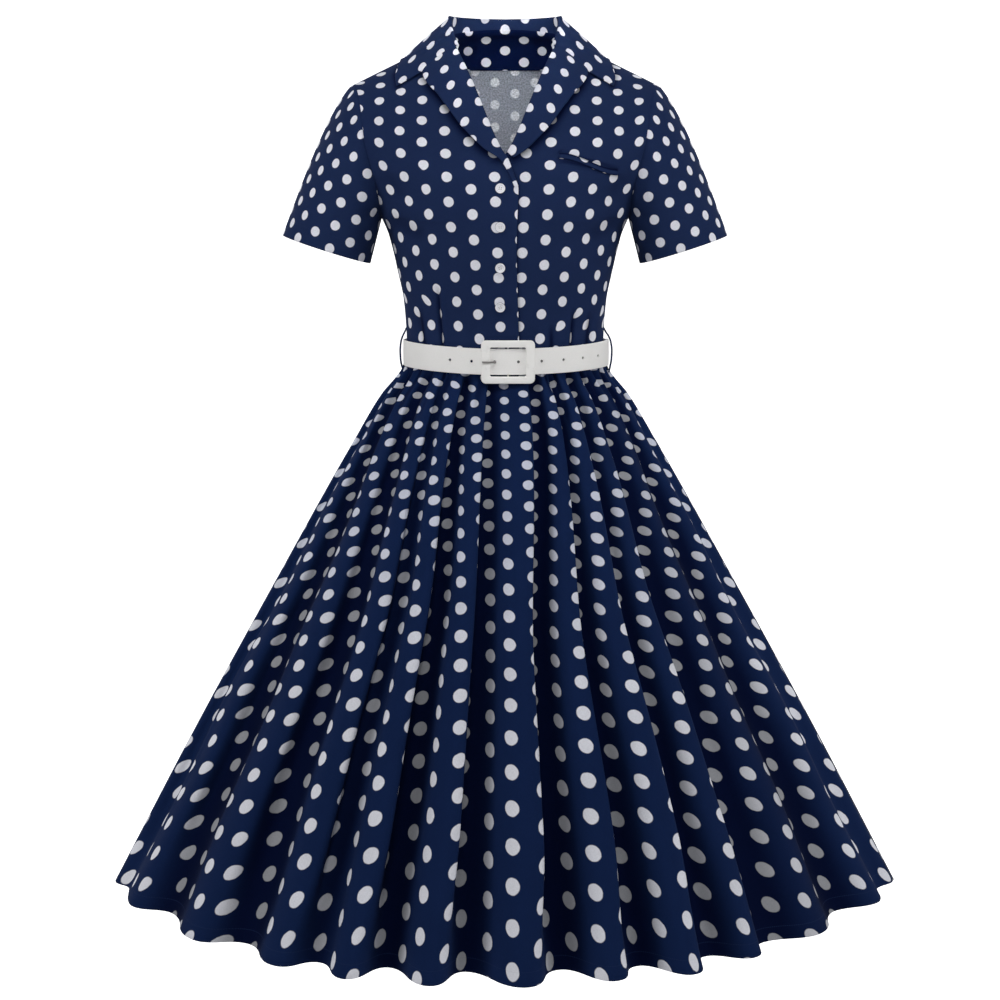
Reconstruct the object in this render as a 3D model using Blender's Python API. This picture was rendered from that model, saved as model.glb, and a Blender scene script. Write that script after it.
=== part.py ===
"""A-line dress with a notched collar, short sleeves and a gathered skirt, as worn, with its belt.

Metres, +Z up. The front faces -Y and the wearer's left is +X. The origin is midway between the
points where the shoulder seams meet the neck, where the wearer's shoulders carry the dress.
Every piece of cloth is one sheet through a grid of points, thickened to WALL on its middle surface.
"""

import math

import bmesh
import bpy
import numpy as np
from mathutils import Matrix, Vector

WALL = 0.0015  # thickness of the cloth with its seam allowances
SEAM = 0.0003  # gap between pieces that are sewn or lie on each other
SIDE_GAP, SHOULDER_GAP = 0.0002, 0.0004  # what each of two pieces is drawn back at a seam
LAYER = WALL + SEAM  # from one layer's middle surface to the next one's

# Levels and landmarks of the bodice
WAIST = -0.3990
UNDERARM = -0.2200
NECK_X, NECK_Z = 0.0710, 0.0040  # shoulder seam at the neck
TIP_X, TIP_Z = 0.1900, -0.0540  # shoulder seam at the armhole
SHOULDER_Y = 0.0120
BACK_NECK_Y, BACK_NECK_Z = 0.0660, 0.0120  # middle of the back neckline
CHEST_HALF_WIDTH = 0.2000  # of the ellipse that the upper fronts and back follow
ARMHOLE_Z = (UNDERARM + TIP_Z) / 2
ARMHOLE_RISE = (TIP_Z - UNDERARM) / 2
ARMHOLE_FRONT, ARMHOLE_BACK = 0.0640, 0.0680  # reach of the armhole to each side
BUTTON_EDGE = -0.0220  # x of the underneath front's edge
LAP_EDGE_TURN = -0.1500  # height under which the underneath front's edge runs straight
LAP_START, LAP_RUN = -0.0700, 0.0400  # x where the upper front starts to rise, and over what width
LAP_LAYER = 0.0021
CHEST_SHARE = 0.30  # of the way up to the shoulder, over which the chest widens
LEAST_LAP = 0.0200  # width of the fronts' first two columns where they do not overlap
BODY_ROWS, ARM_ROWS, FRONT_COLUMNS = 5, 10, 10
# The back's columns on its left half, as shares of a quarter turn; the fourth meets the neck point
BACK_COLUMNS = (0.0, 0.082, 0.163, 0.244, 0.37, 0.50, 0.63, 0.76, 0.88, 1.0)

# Buttons, pocket, sleeves
BUTTON_X = -0.0060
BUTTON_HEIGHTS = (-0.1815, -0.2270, -0.2760, -0.3240)
BUTTON_RADIUS, BUTTON_THICK, BUTTON_SIDES = 0.0062, 0.0024, 20
# Shares of the radius and the thickness, from the sunk middle over the rim to the back
BUTTON_PROFILE = ((0.62, 0.62), (0.76, 1.00), (0.93, 0.95), (1.00, 0.60), (0.90, 0.00))
WELT_START, WELT_END = (0.0655, -0.1390), (0.1360, -0.1585)
WELT_HEIGHT = 0.0065
CUFF_CENTRE = (0.2240, -0.0040, -0.2570)
CUFF_REACH = (0.0545, 0.0175)  # x and z from the cuff's centre to its outer point
CUFF_DEPTH = 0.0600
CAP_BULGE, CAP_SKEW = 0.0080, 0.65
CAP_WAY = (0.900, 0.434)  # x and z of the way in which the top of a sleeve bulges
SLEEVE_STATIONS = (0.0, 0.09, 0.24, 0.45, 0.72, 1.0)

# How far a sleeve's first ring stands off the armhole, and what is added to that under the arm
SLEEVE_STEP, UNDERARM_STEP, UNDERARM_RISE = 0.0007, 0.0014, 0.0006

# Collar and facing
COLLAR_GAP = 0.0014  # from the neck seam up to the stand
CREST_HALF, CREST_DROP = 0.0017, 0.0012
COLLAR_BULGE, COLLAR_LIFT = 0.0015, 0.0034
COLLAR_SAG = 0.0085  # of the fall between the crest and the shoulder
COLLAR_FREE_X = 0.0210  # nearer the middle of the back the fall hangs free of the bodice
STAND_SHARES, FALL_SHARES = (0.0, 0.5, 1.0), (0.0, 0.2, 0.4, 0.535, 0.77, 1.0)
COLLAR_COLUMNS = 15
NOTCH_FROM = 0.80  # share of the collar's half after which its front end dips to the notch
LAPEL_BASE = 0.0019
FACING_LAYER = 0.0025
FACING_ROWS, FACING_START, FACING_END = 4, 0.15, 0.66  # its ends, as shares of the back's rows

# Belt
BELT_WIDTH, BELT_THICK = 0.0320, 0.0018
BELT_Z, BELT_DIP = -0.3870, 0.0048  # at the sides, and how far the front hangs lower
BELT_SIDE, BELT_FRONT, BELT_BACK = 0.1276, 0.1010, 0.0870
BELT_LAYER = 0.0024
BELT_HOLES, HOLES_BEFORE, HOLE_PITCH, HOLE_RADIUS = 8, 2, 0.0290, 0.0016
PRONG_HOLE_X = -0.0126
HOLE_SIDES, CUTTER_DEPTH = 10, 0.0036
STRAP_START, STRAP_END = math.radians(2.8), math.radians(458.0)
STRAP_CLIMB = (math.radians(322.0), math.radians(350.0))
STRAP_COLUMNS = 77
BUCKLE_X = 0.0034
BUCKLE_OUTER, BUCKLE_WINDOW = (0.0660, 0.0530), (0.0440, 0.0355)
BUCKLE_THICK, BUCKLE_CORNER = 0.0036, 0.0060
CORNER_POINTS, SIDE_POINTS = 4, 3
BUCKLE_Z = BELT_Z - BELT_DIP
BUCKLE_CURVE, BUCKLE_BEVEL = 0.70, 0.0008
FRAME_BACK = BELT_LAYER + BELT_THICK / 2.0 + SEAM  # beyond the fixed strap's middle
BAR_LIFT, BAR_THICK, BAR_WIDTH, BAR_REACH = 0.0, 0.0022, 0.0030, 0.0205
BAR_SINK = 0.0010  # of the bar's ends into the frame
PRONG_RADIUS = 0.0010
PRONG_SIDES = 8
# x and distance beyond the fixed strap's middle, and share of the radius, from root to tip
PRONG_PATH = (
    (0.0012, -0.0001, 1.0),
    (-0.0070, -0.0002, 1.0),
    (-0.0126, -0.0003, 1.0),
    (-0.0126, 0.0047, 1.0),
    (-0.0155, 0.0068, 1.0),
    (-0.0190, 0.0079, 1.0),
    (-0.0240, 0.0074, 0.95),
    (-0.0285, 0.0067, 0.75),
)
# x and z of a loop, and whether it stands out with the belt's layers
LOOP_PATH = (
    (0.1260, -0.3600, 0.0),
    (0.1266, -0.3650, 0.0),
    (0.1302, -0.3700, 1.0),
    (0.1304, -0.3870, 1.0),
    (0.1303, -0.4040, 1.0),
    (0.1300, -0.4090, 1.0),
)
LOOP_DROP = 1.3  # how much lower a loop ends for each length that it stands out
LOOP_WIDTH, LOOP_THICK = 0.0050, 0.0014

# Skirt
SPLAY, SPLAY_END = 6.5, -0.7000  # degrees that folds start nearer the sides, and where it ends
BULB = 0.13  # share of a fold's spacing by which its ridge and valley widen
RIDGE_FLATNESS, FULL_FOLD = 0.80, 0.55
COLUMNS_PER_HALF = 5  # from a ridge to the next valley

NAVY = (0.0120, 0.0180, 0.0610)
WHITE = (0.8300, 0.8200, 0.7900)
CLOTH_ROUGHNESS, BELT_ROUGHNESS, PLASTIC_ROUGHNESS = 0.85, 0.45, 0.30
SHARP = math.radians(50.0)  # least angle of an edge that isn't shaded smooth


def table(columns, rows):
    """A dictionary with one array for each named column."""
    return dict(zip(columns.split(), np.array(rows, float).T))


# Sections of the bodice from the waist seam to the underarm
BODICE = table("height side front back", [
    (-0.3990, 0.1232, 0.0962, 0.0820),
    (-0.3630, 0.1240, 0.0970, 0.0832),
    (-0.3210, 0.1272, 0.1060, 0.0880),
    (-0.2850, 0.1345, 0.1140, 0.0940),
    (-0.2440, 0.1440, 0.1215, 0.1000),
    (-0.2200, 0.1535, 0.1240, 0.1030),
])

# Seam of the armhole, seen from the front
ARMHOLE = table("height x", [
    (-0.2200, 0.1535),
    (-0.1840, 0.1575),
    (-0.1580, 0.1640),
    (-0.1220, 0.1730),
    (-0.0810, 0.1785),
    (-0.0580, 0.1850),
    (-0.0540, 0.1900),
])

# Line on which a lapel turns over, and its free edge, from the gorge down; x is for the left
LAPEL = table("roll_x roll_z edge_x edge_z lift", [
    (0.0590, -0.0150, 0.0980, -0.0470, 0.0030),
    (0.0530, -0.0270, 0.0910, -0.0585, 0.0045),
    (0.0450, -0.0440, 0.0800, -0.0700, 0.0050),
    (0.0355, -0.0660, 0.0670, -0.0880, 0.0050),
    (0.0260, -0.0890, 0.0535, -0.1060, 0.0045),
    (0.0165, -0.1120, 0.0390, -0.1215, 0.0040),
    (0.0085, -0.1290, 0.0240, -0.1355, 0.0032),
    (0.0035, -0.1380, 0.0100, -0.1440, 0.0024),
])
# How the right lapel runs out along the edge of the upper front
LAPEL_TAIL = table("roll_x roll_z edge_x edge_z lift", [
    (-0.0010, -0.1435, 0.0050, -0.1480, 0.0024),
    (-0.0060, -0.1555, -0.0020, -0.1585, 0.0022),
    (-0.0140, -0.1790, -0.0118, -0.1800, 0.0020),
])

# Free edge of the fronts: x for the upper one, which is the wearer's right
LAP_EDGE = table("height x", [
    (-0.3990, 0.0165),
    (-0.3580, 0.0160),
    (-0.2970, 0.0140),
    (-0.2550, 0.0130),
    (-0.2190, 0.0138),
    (-0.1830, 0.0152),
    (-0.1555, 0.0060),
    (-0.1430, 0.0010),
    (-0.1290, -0.0085),
    (-0.1120, -0.0165),
    (-0.0890, -0.0260),
    (-0.0660, -0.0355),
    (-0.0440, -0.0450),
    (-0.0270, -0.0530),
    (-0.0140, -0.0610),
    (-0.0060, -0.0665),
    (0.0040, -0.0710),
])

# Collar, from the middle of the back to its front end, for the left side
COLLAR = table("neck_x neck_y neck_z crest_x crest_y crest_z edge_x edge_y edge_z", [
    (0.0000, 0.0660, 0.0120, 0.0000, 0.0675, 0.0300, 0.0000, 0.0910, -0.0100),
    (0.0272, 0.0619, 0.0108, 0.0268, 0.0640, 0.0303, 0.0420, 0.0850, -0.0115),
    (0.0502, 0.0502, 0.0080, 0.0496, 0.0520, 0.0308, 0.0800, 0.0630, -0.0150),
    (0.0656, 0.0327, 0.0052, 0.0645, 0.0335, 0.0312, 0.1070, 0.0380, -0.0180),
    (0.0710, 0.0120, 0.0040, 0.0690, 0.0130, 0.0310, 0.1235, 0.0120, -0.0190),
    (0.0690, -0.0080, 0.0014, 0.0680, -0.0060, 0.0200, 0.1305, -0.0170, -0.0315),
    (0.0650, -0.0250, -0.0056, 0.0645, -0.0230, 0.0070, 0.1350, -0.0370, -0.0440),
    (0.0595, -0.0400, -0.0130, 0.0590, -0.0390, -0.0060, 0.1320, -0.0490, -0.0560),
])
NOTCH_DROP, NOTCH_SHARE = 0.0130, 0.535  # how far the gorge dips, and where across the fall

# Sections of the skirt round the folds' ridges, and half the folds' depth
SKIRT = table("height side front back fold", [
    (-0.3997, 0.1243, 0.0965, 0.0828, 0.0008),
    (-0.4070, 0.1262, 0.0974, 0.0843, 0.0016),
    (-0.4180, 0.1345, 0.0998, 0.0900, 0.0040),
    (-0.4400, 0.1545, 0.1170, 0.1060, 0.0075),
    (-0.4990, 0.1915, 0.1520, 0.1450, 0.0115),
    (-0.6600, 0.2830, 0.2370, 0.2290, 0.0185),
    (-0.8700, 0.3995, 0.3340, 0.3250, 0.0260),
    (-1.0750, 0.5080, 0.4265, 0.4150, 0.0320),
])

# Ridges and valleys by turns from the wearer's right to the left, with a ridge on each side seam:
# the angle from the middle, and how far in from the section, in half depths of the folds
FRONT_FOLDS = table("angle inset", [
    (-90.0, 0.05),
    (-84.0, 0.75),
    (-75.0, 0.60),
    (-65.5, 1.80),
    (-51.0, 0.80),
    (-42.5, 1.90),
    (-32.5, 0.45),
    (-27.5, 1.50),
    (-21.5, 0.10),
    (-17.0, 1.76),
    (-10.0, 0.00),
    (-5.6, 1.70),
    (2.2, 0.00),
    (8.4, 1.90),
    (14.2, 0.35),
    (20.0, 1.80),
    (25.2, 0.25),
    (31.4, 1.90),
    (36.8, 0.85),
    (43.5, 2.00),
    (53.5, 1.15),
    (66.5, 2.05),
    (77.0, 0.70),
    (84.0, 0.90),
    (90.0, 0.10),
])
BACK_FOLDS = table("angle inset", [
    (-90.0, 0.05),
    (-82.0, 1.45),
    (-76.5, 0.35),
    (-68.0, 1.95),
    (-57.5, 0.10),
    (-51.5, 1.55),
    (-46.5, 0.65),
    (-38.0, 2.00),
    (-28.5, 0.00),
    (-23.5, 1.40),
    (-19.0, 0.40),
    (-11.5, 1.95),
    (-3.0, 0.05),
    (3.5, 1.60),
    (8.5, 0.55),
    (15.5, 2.00),
    (24.0, 0.10),
    (31.0, 1.85),
    (36.5, 0.75),
    (42.0, 1.50),
    (49.5, 0.00),
    (58.5, 1.95),
    (65.5, 0.45),
    (71.0, 1.50),
    (77.5, 0.20),
    (84.5, 1.60),
    (90.0, 0.05),
])


def smooth(t):
    """Eases from 0 to 1."""
    t = np.clip(t, 0.0, 1.0)
    return t * t * (3.0 - 2.0 * t)


def curve(known, values, wanted):
    """Cubic through the values at the known places, which rise; it never overshoots them."""
    steps = np.diff(known)
    slopes = np.diff(values) / steps
    both = slopes[:-1] * slopes[1:]
    total = np.where(both > 0, slopes[:-1] + slopes[1:], 1.0)
    inner = np.where(both > 0, 2.0 * both / total, 0.0)
    tangents = np.concatenate([slopes[:1], inner, slopes[-1:]])
    wanted = np.clip(wanted, known[0], known[-1])
    span = np.clip(np.searchsorted(known, wanted) - 1, 0, len(steps) - 1)
    t = (wanted - known[span]) / steps[span]
    ease = t * t * (3.0 - 2.0 * t)
    bend = tangents[span] * (t - 2.0 * t**2 + t**3) + tangents[span + 1] * (t**3 - t**2)
    return values[span] * (1.0 - ease) + values[span + 1] * ease + bend * steps[span]


def at(sections, column, height):
    """A column of a table of sections, read at a height."""
    order = np.argsort(sections["height"])
    return curve(sections["height"][order], sections[column][order], height)


def resampled(rows, count):
    """The table with this many rows, spaced evenly between its own."""
    places = np.arange(len(next(iter(rows.values()))), dtype=float)
    wanted = np.linspace(0.0, places[-1], count)
    return {name: curve(places, values, wanted) for name, values in rows.items()}


def stacked(x, y, z):
    return np.stack(np.broadcast_arrays(x, y, z), axis=-1)


def unit(vectors):
    return vectors / np.linalg.norm(vectors, axis=-1, keepdims=True)


# The bodice's middle surface gives y for each x and z. The front is side -1 and the back side +1.


def top_z(x, side):
    """Height of the shoulder seam, or between its two ends that of the neckline."""
    x = np.abs(x)
    shoulder = NECK_Z + (TIP_Z - NECK_Z) * (x - NECK_X) / (TIP_X - NECK_X)
    neck = NECK_Z + (BACK_NECK_Z - NECK_Z) * (1.0 - (x / NECK_X) ** 2) * (side > 0)
    return np.where(x > NECK_X, shoulder, neck)


def top_y(x, side):
    scoop = np.sqrt(np.clip(1.0 - (x / NECK_X) ** 2, 0.0, 1.0))
    return SHOULDER_Y + (BACK_NECK_Y - SHOULDER_Y) * scoop * (side > 0)


def armhole_y(z, side):
    around = np.clip((z - ARMHOLE_Z) / ARMHOLE_RISE, -1.0, 1.0)
    reach = ARMHOLE_BACK if side > 0 else ARMHOLE_FRONT
    return SHOULDER_Y * (1.0 + around) / 2.0 + side * reach * np.sqrt(1.0 - around**2)


def plain_depth(x, z, side):
    """Y of the bodice before its edge is drawn to the armhole."""
    share = np.clip((z - UNDERARM) / (top_z(x, side) - UNDERARM), 0.0, 1.0)
    low = np.minimum(z, UNDERARM)
    width = at(BODICE, "side", low)
    width = width + (CHEST_HALF_WIDTH - width) * smooth(share / CHEST_SHARE) * (share > 0)
    reach = at(BODICE, "back" if side > 0 else "front", low)
    level = side * reach * np.sqrt(np.clip(1.0 - (x / width) ** 2, 0.0, 1.0))
    over = top_y(x, side) + (level - top_y(x, side)) * np.sqrt(1.0 - share**2)
    return np.where(share > 0, over, level)


def depth(x, z, side):
    x, z = np.broadcast_arrays(np.asarray(x, float), np.asarray(z, float))
    seam = at(ARMHOLE, "x", z)
    pull = armhole_y(z, side) - plain_depth(seam, z, side)
    pull = pull * np.clip(np.abs(x) / seam, 0.0, 1.0) ** 4
    return plain_depth(x, z, side) + np.where((z > UNDERARM) & (z < TIP_Z), pull, 0.0)


def normals(x, z, side):
    """Unit normals of the bodice, away from the wearer."""
    step = 0.0005
    across = (depth(x + step, z, side) - depth(x - step, z, side)) / (2.0 * step)
    along = (depth(x, z + step, side) - depth(x, z - step, side)) / (2.0 * step)
    return side * unit(stacked(-across, 1.0, -along))


def on_bodice(x, z, side, lift):
    """Points on the bodice, moved out by lift."""
    lift = np.broadcast_to(lift, np.broadcast(x, z).shape)
    return stacked(x, depth(x, z, side), z) + normals(x, z, side) * lift[..., None]


def lap_lift(x):
    """How far the upper front stands off where it crosses the lower one."""
    return LAP_LAYER * smooth((x - LAP_START) / LAP_RUN)


def armhole_shares():
    """The rows of a panel beside the armhole, from the underarm to the shoulder, as angles give them."""
    return (1.0 - np.cos(np.linspace(0.0, math.pi, ARM_ROWS + 1))) / 2.0


def panel_grid(side, row):
    """Rows of x and z from the waist to the shoulder. row gives the x of a row from its ends' heights."""
    lines = []
    for z in np.linspace(WAIST, UNDERARM, BODY_ROWS + 1)[:-1]:
        x = row(z, z)
        lines.append((x, np.full(len(x), z)))
    for share in armhole_shares():
        z_inner = UNDERARM + (NECK_Z - UNDERARM) * share
        z_outer = UNDERARM + (TIP_Z - UNDERARM) * share
        x = row(z_inner, z_outer)
        fall = (top_z(x, side) - NECK_Z) / (top_z(np.abs(x).max(), side) - NECK_Z)
        lines.append((x, z_inner + (z_outer - z_inner) * fall))
    return tuple(np.array(both) for both in zip(*lines))


def side_edge(z):
    return float(at(ARMHOLE, "x", z) if z > UNDERARM else at(BODICE, "side", z))


def parted(points, side):
    """Draws a panel back from the seams at its side edges and its top."""
    gap = np.zeros(points.shape[:2])
    gap[:, -1] = SIDE_GAP
    gap[:, 0] = SIDE_GAP * (side > 0)
    gap[-1, :] = SHOULDER_GAP
    points[..., 1] += side * gap
    return points


def front_panel(name, side_sign, inner, lift):
    """One front, from its free edge to the side seam. Both have the same columns where they overlap."""
    spread = np.sin(np.linspace(0.0, math.pi / 2.0, FRONT_COLUMNS - 1))

    def row(z_inner, z_outer):
        start, end = inner(z_inner), side_sign * side_edge(z_outer)
        lap = max(upper_edge(z_inner) - lower_edge(z_inner), LEAST_LAP)
        second = start + side_sign * lap
        return np.concatenate([[start, (start + second) / 2.0], second + (end - second) * spread])

    x, z = panel_grid(-1, row)
    sheet(name, parted(on_bodice(x, z, -1, lift(x)), -1), NAVY)


def upper_edge(z):
    return float(at(LAP_EDGE, "x", z))


def lower_edge(z):
    """The underneath front mirrors the upper one above the first button, and stops short below it."""
    return max(-upper_edge(z), BUTTON_EDGE) if z > LAP_EDGE_TURN else BUTTON_EDGE


def make_fronts():
    front_panel("front_right", -1.0, upper_edge, lap_lift)
    front_panel("front_left", 1.0, lower_edge, np.zeros_like)


def back_grid():
    half = np.sin(math.pi / 2.0 * np.array(BACK_COLUMNS))

    def row(_, z_outer):
        return side_edge(z_outer) * np.concatenate([-half[:0:-1], half])

    return panel_grid(1, row)


def make_back():
    x, z = back_grid()
    sheet("back", parted(on_bodice(x, z, 1, 0.0), 1), NAVY)


def make_neck_facing():
    """Lies inside the back neck, on the back's own points."""
    x, z = back_grid()
    neck = np.abs(x[-1]) < NECK_X + SEAM
    points = on_bodice(x, z, 1, -FACING_LAYER)[-FACING_ROWS:, neck]
    top, bottom = points[-1], points[0]
    points[-1] = top + (points[-2] - top) * FACING_START
    points[0] = points[1] + (bottom - points[1]) * FACING_END
    sheet("neck_facing", points, NAVY)


def sleeve_points(side_sign, around, stations):
    """Rings from the armhole to the cuff. around is 0 at the top and a quarter turn at the front."""
    around = np.asarray(around)[None, :]
    along = np.asarray(stations)[:, None]
    z = ARMHOLE_Z + ARMHOLE_RISE * np.cos(around)
    front, back = armhole_y(z, -1), armhole_y(z, 1)
    under = (1.0 - np.cos(around)) / 2.0
    start = stacked(
        at(ARMHOLE, "x", z) + SLEEVE_STEP + UNDERARM_STEP * under**2,
        np.where(np.sin(around) >= 0.0, front, back),
        z + UNDERARM_RISE * under**2,
    )
    end = stacked(
        CUFF_CENTRE[0] + CUFF_REACH[0] * np.cos(around),
        CUFF_CENTRE[1] - CUFF_DEPTH * np.sin(around),
        CUFF_CENTRE[2] + CUFF_REACH[1] * np.cos(around),
    )
    points = start * (1.0 - along[..., None]) + end * along[..., None]
    outwards = stacked(CAP_WAY[0] * np.cos(around), -np.sin(around), CAP_WAY[1] * np.cos(around))
    bulge = CAP_BULGE * np.sin(math.pi * along**CAP_SKEW) * (1.0 - under)
    points = points + outwards * bulge[..., None]
    return points * (side_sign, 1.0, 1.0)


def make_sleeves():
    around = np.linspace(0.0, 2.0 * math.pi, 2 * ARM_ROWS + 1)[:-1]
    for name, side_sign in (("sleeve_right", -1.0), ("sleeve_left", 1.0)):
        sheet(name, sleeve_points(side_sign, around, SLEEVE_STATIONS), NAVY, tube=True)


def clear_of_bodice(points, lift):
    """Moves points that lie too low on the shoulders out to this height over the bodice."""
    points = points.copy()
    for side in (-1, 1):
        x, y, z = np.moveaxis(points, -1, 0)
        mine = (y < SHOULDER_Y) if side < 0 else (y >= SHOULDER_Y)
        inside = mine & (z < top_z(x, side)) & (np.abs(x) > COLLAR_FREE_X)
        out = normals(x, z, side)
        height = ((points - stacked(x, depth(x, z, side), z)) * out).sum(axis=-1)
        short = np.where(inside, np.maximum(lift - height, 0.0), 0.0)
        points += out * short[..., None]
    return points


def collar_points(half_count):
    """Columns from the wearer's right to the left, each from the neck seam over the crest to the edge."""
    rows = resampled(COLLAR, half_count)
    neck = stacked(rows["neck_x"], rows["neck_y"], rows["neck_z"] + COLLAR_GAP)
    crest = stacked(rows["crest_x"], rows["crest_y"], rows["crest_z"])
    edge = stacked(rows["edge_x"], rows["edge_y"], rows["edge_z"])
    out = unit((edge - crest) * (1.0, 1.0, 0.0))
    down = np.array((0.0, 0.0, -CREST_DROP))
    inner, outer = crest - out * CREST_HALF + down, crest + out * CREST_HALF + down
    front = smooth((np.linspace(0.0, 1.0, half_count) - NOTCH_FROM) / (1.0 - NOTCH_FROM))
    shoulder = smooth(np.linspace(0.0, 2.0, half_count))
    lines = [neck + (inner - neck) * share for share in STAND_SHARES]
    lines.append(crest)
    for share in FALL_SHARES:
        line = outer + (edge - outer) * share
        line = line + out * COLLAR_BULGE * math.sin(math.pi * share)
        dip = NOTCH_DROP * max(0.0, 1.0 - abs(share - NOTCH_SHARE) / NOTCH_SHARE)
        line[:, 2] -= dip * front + COLLAR_SAG * math.sin(math.pi * math.sqrt(share)) * shoulder
        lines.append(clear_of_bodice(line, COLLAR_LIFT) if share > 0.0 else line)
    half = np.stack(lines, axis=1)
    return np.concatenate([half[:0:-1] * (-1.0, 1.0, 1.0), half])


def make_collar():
    sheet("collar", collar_points(COLLAR_COLUMNS), NAVY)


def lapel_points(rows, side_sign, across):
    """A lapel's rows run down from the gorge; across is 0 at the turned edge and 1 at the free one."""
    share = np.asarray(across)[None, :]
    x = rows["roll_x"][:, None] * (1.0 - share) + rows["edge_x"][:, None] * share
    z = rows["roll_z"][:, None] * (1.0 - share) + rows["edge_z"][:, None] * share
    lift = LAPEL_BASE + (rows["lift"][:, None] - LAPEL_BASE) * np.sin(0.5 * math.pi * np.sqrt(share))
    x = side_sign * x
    if side_sign < 0:
        lift = lift + lap_lift(x)
    return on_bodice(x, z, -1, lift)


def make_lapels():
    across = np.linspace(0.0, 1.0, 4)
    sheet("lapel_left", lapel_points(resampled(LAPEL, 13), 1.0, across), NAVY)
    whole = {name: np.concatenate([LAPEL[name], LAPEL_TAIL[name]]) for name in LAPEL}
    sheet("lapel_right", lapel_points(resampled(whole, 17), -1.0, across), NAVY)


def make_pocket_welt():
    share = np.linspace(0.0, 1.0, 10)
    x = WELT_START[0] + (WELT_END[0] - WELT_START[0]) * share
    z = WELT_START[1] + (WELT_END[1] - WELT_START[1]) * smooth(share)
    z = np.stack([z, z - WELT_HEIGHT])
    sheet("pocket_welt", on_bodice(np.broadcast_to(x, z.shape), z, -1, LAYER + SEAM / 3.0), NAVY)


def make_buttons():
    """Turned discs with a raised rim, seated on the upper front."""
    angles = np.linspace(0.0, 2.0 * math.pi, BUTTON_SIDES, endpoint=False)
    circle = np.cos(angles), np.sin(angles)
    for number, z in enumerate(BUTTON_HEIGHTS, start=1):
        x, height = np.array([BUTTON_X]), np.array([z])
        lift = lap_lift(x) + WALL / 2.0 + SEAM
        seat = on_bodice(x, height, -1, lift)[0]
        out = Vector(normals(x, height, -1)[0])
        turn = out.to_track_quat("Z", "Y").to_matrix().to_4x4()
        rings = []
        for radius, rise in BUTTON_PROFILE:
            reach = BUTTON_RADIUS * radius
            rings.append(stacked(reach * circle[0], reach * circle[1], BUTTON_THICK * rise))
        model = stacked_rings(rings)
        model.transform(Matrix.Translation(seat) @ turn)
        finish(f"button_{number}", model, WHITE, PLASTIC_ROUGHNESS)


def belt_curve(turn, lift):
    """Points of the belt's middle line; turn is 0 at the middle of the front."""
    front = np.cos(turn) > 0.0
    reach = np.where(front, BELT_FRONT, BELT_BACK)
    across, forward = np.sin(turn), -np.cos(turn)
    out = unit(stacked(across / BELT_SIDE, forward / reach, 0.0))
    z = BELT_Z - BELT_DIP * np.clip(np.cos(turn), 0.0, 1.0) ** 2
    return stacked(BELT_SIDE * across, reach * forward, z) + out * np.asarray(lift)[..., None], out


def strap_lift(turn):
    """The strap's free end lies on its fixed end from the buckle on."""
    return BELT_LAYER * smooth((turn - STRAP_CLIMB[0]) / (STRAP_CLIMB[1] - STRAP_CLIMB[0]))


def strap_lengths(turns):
    line, _ = belt_curve(turns, strap_lift(turns))
    return np.concatenate([[0.0], np.cumsum(np.linalg.norm(np.diff(line, axis=0), axis=1))])


def hole_turns():
    """Where the strap's holes lie: one is under the prong and the rest are a pitch apart."""
    turns = np.linspace(STRAP_START, STRAP_END, 2000)
    lengths = strap_lengths(turns)
    prong = np.interp(2.0 * math.pi + math.asin(PRONG_HOLE_X / BELT_SIDE), turns, lengths)
    wanted = prong + HOLE_PITCH * (np.arange(BELT_HOLES) - HOLES_BEFORE)
    return np.interp(wanted, lengths, turns)


def make_belt_strap():
    turns = np.linspace(STRAP_START, STRAP_END, STRAP_COLUMNS)
    line, _ = belt_curve(turns, strap_lift(turns))
    half = np.array((0.0, 0.0, BELT_WIDTH / 2.0))
    strap = sheet("belt_strap", np.stack([line - half, line + half]), WHITE, BELT_THICK, BELT_ROUGHNESS)
    cutters = bmesh.new()
    for turn in hole_turns():
        turn = np.array([turn])
        centre, out = belt_curve(turn, strap_lift(turn))
        aim = Vector(out[0]).to_track_quat("Z", "Y").to_matrix().to_4x4()
        place = Matrix.Translation(centre[0]) @ aim
        bmesh.ops.create_cone(
            cutters, cap_ends=True, segments=HOLE_SIDES, radius1=HOLE_RADIUS, radius2=HOLE_RADIUS,
            depth=CUTTER_DEPTH, matrix=place,
        )
    cut(strap, cutters, "DIFFERENCE")


def rounded_rectangle(width, height, radius):
    """Corner arcs and the points between them, anticlockwise from the right side."""
    points = []
    for quarter, (side_x, side_z) in enumerate(((1, 1), (-1, 1), (-1, -1), (1, -1))):
        angles = np.linspace(quarter, quarter + 1, CORNER_POINTS) * math.pi / 2.0
        x = side_x * (width / 2.0 - radius) + radius * np.cos(angles)
        z = side_z * (height / 2.0 - radius) + radius * np.sin(angles)
        points.append(np.stack([x, z], axis=1))
    shares = np.arange(1, SIDE_POINTS + 1)[:, None] / (SIDE_POINTS + 1.0)
    outline = []
    for corner, after in zip(points, points[1:] + points[:1]):
        outline += [corner, corner[-1] + (after[0] - corner[-1]) * shares]
    return np.concatenate(outline)


def buckle_y(x, lift):
    """The frame follows part of the belt's curve."""
    reach = BELT_FRONT + lift
    return -reach + BUCKLE_CURVE * reach * (1.0 - np.sqrt(1.0 - (x / BELT_SIDE) ** 2))


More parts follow.
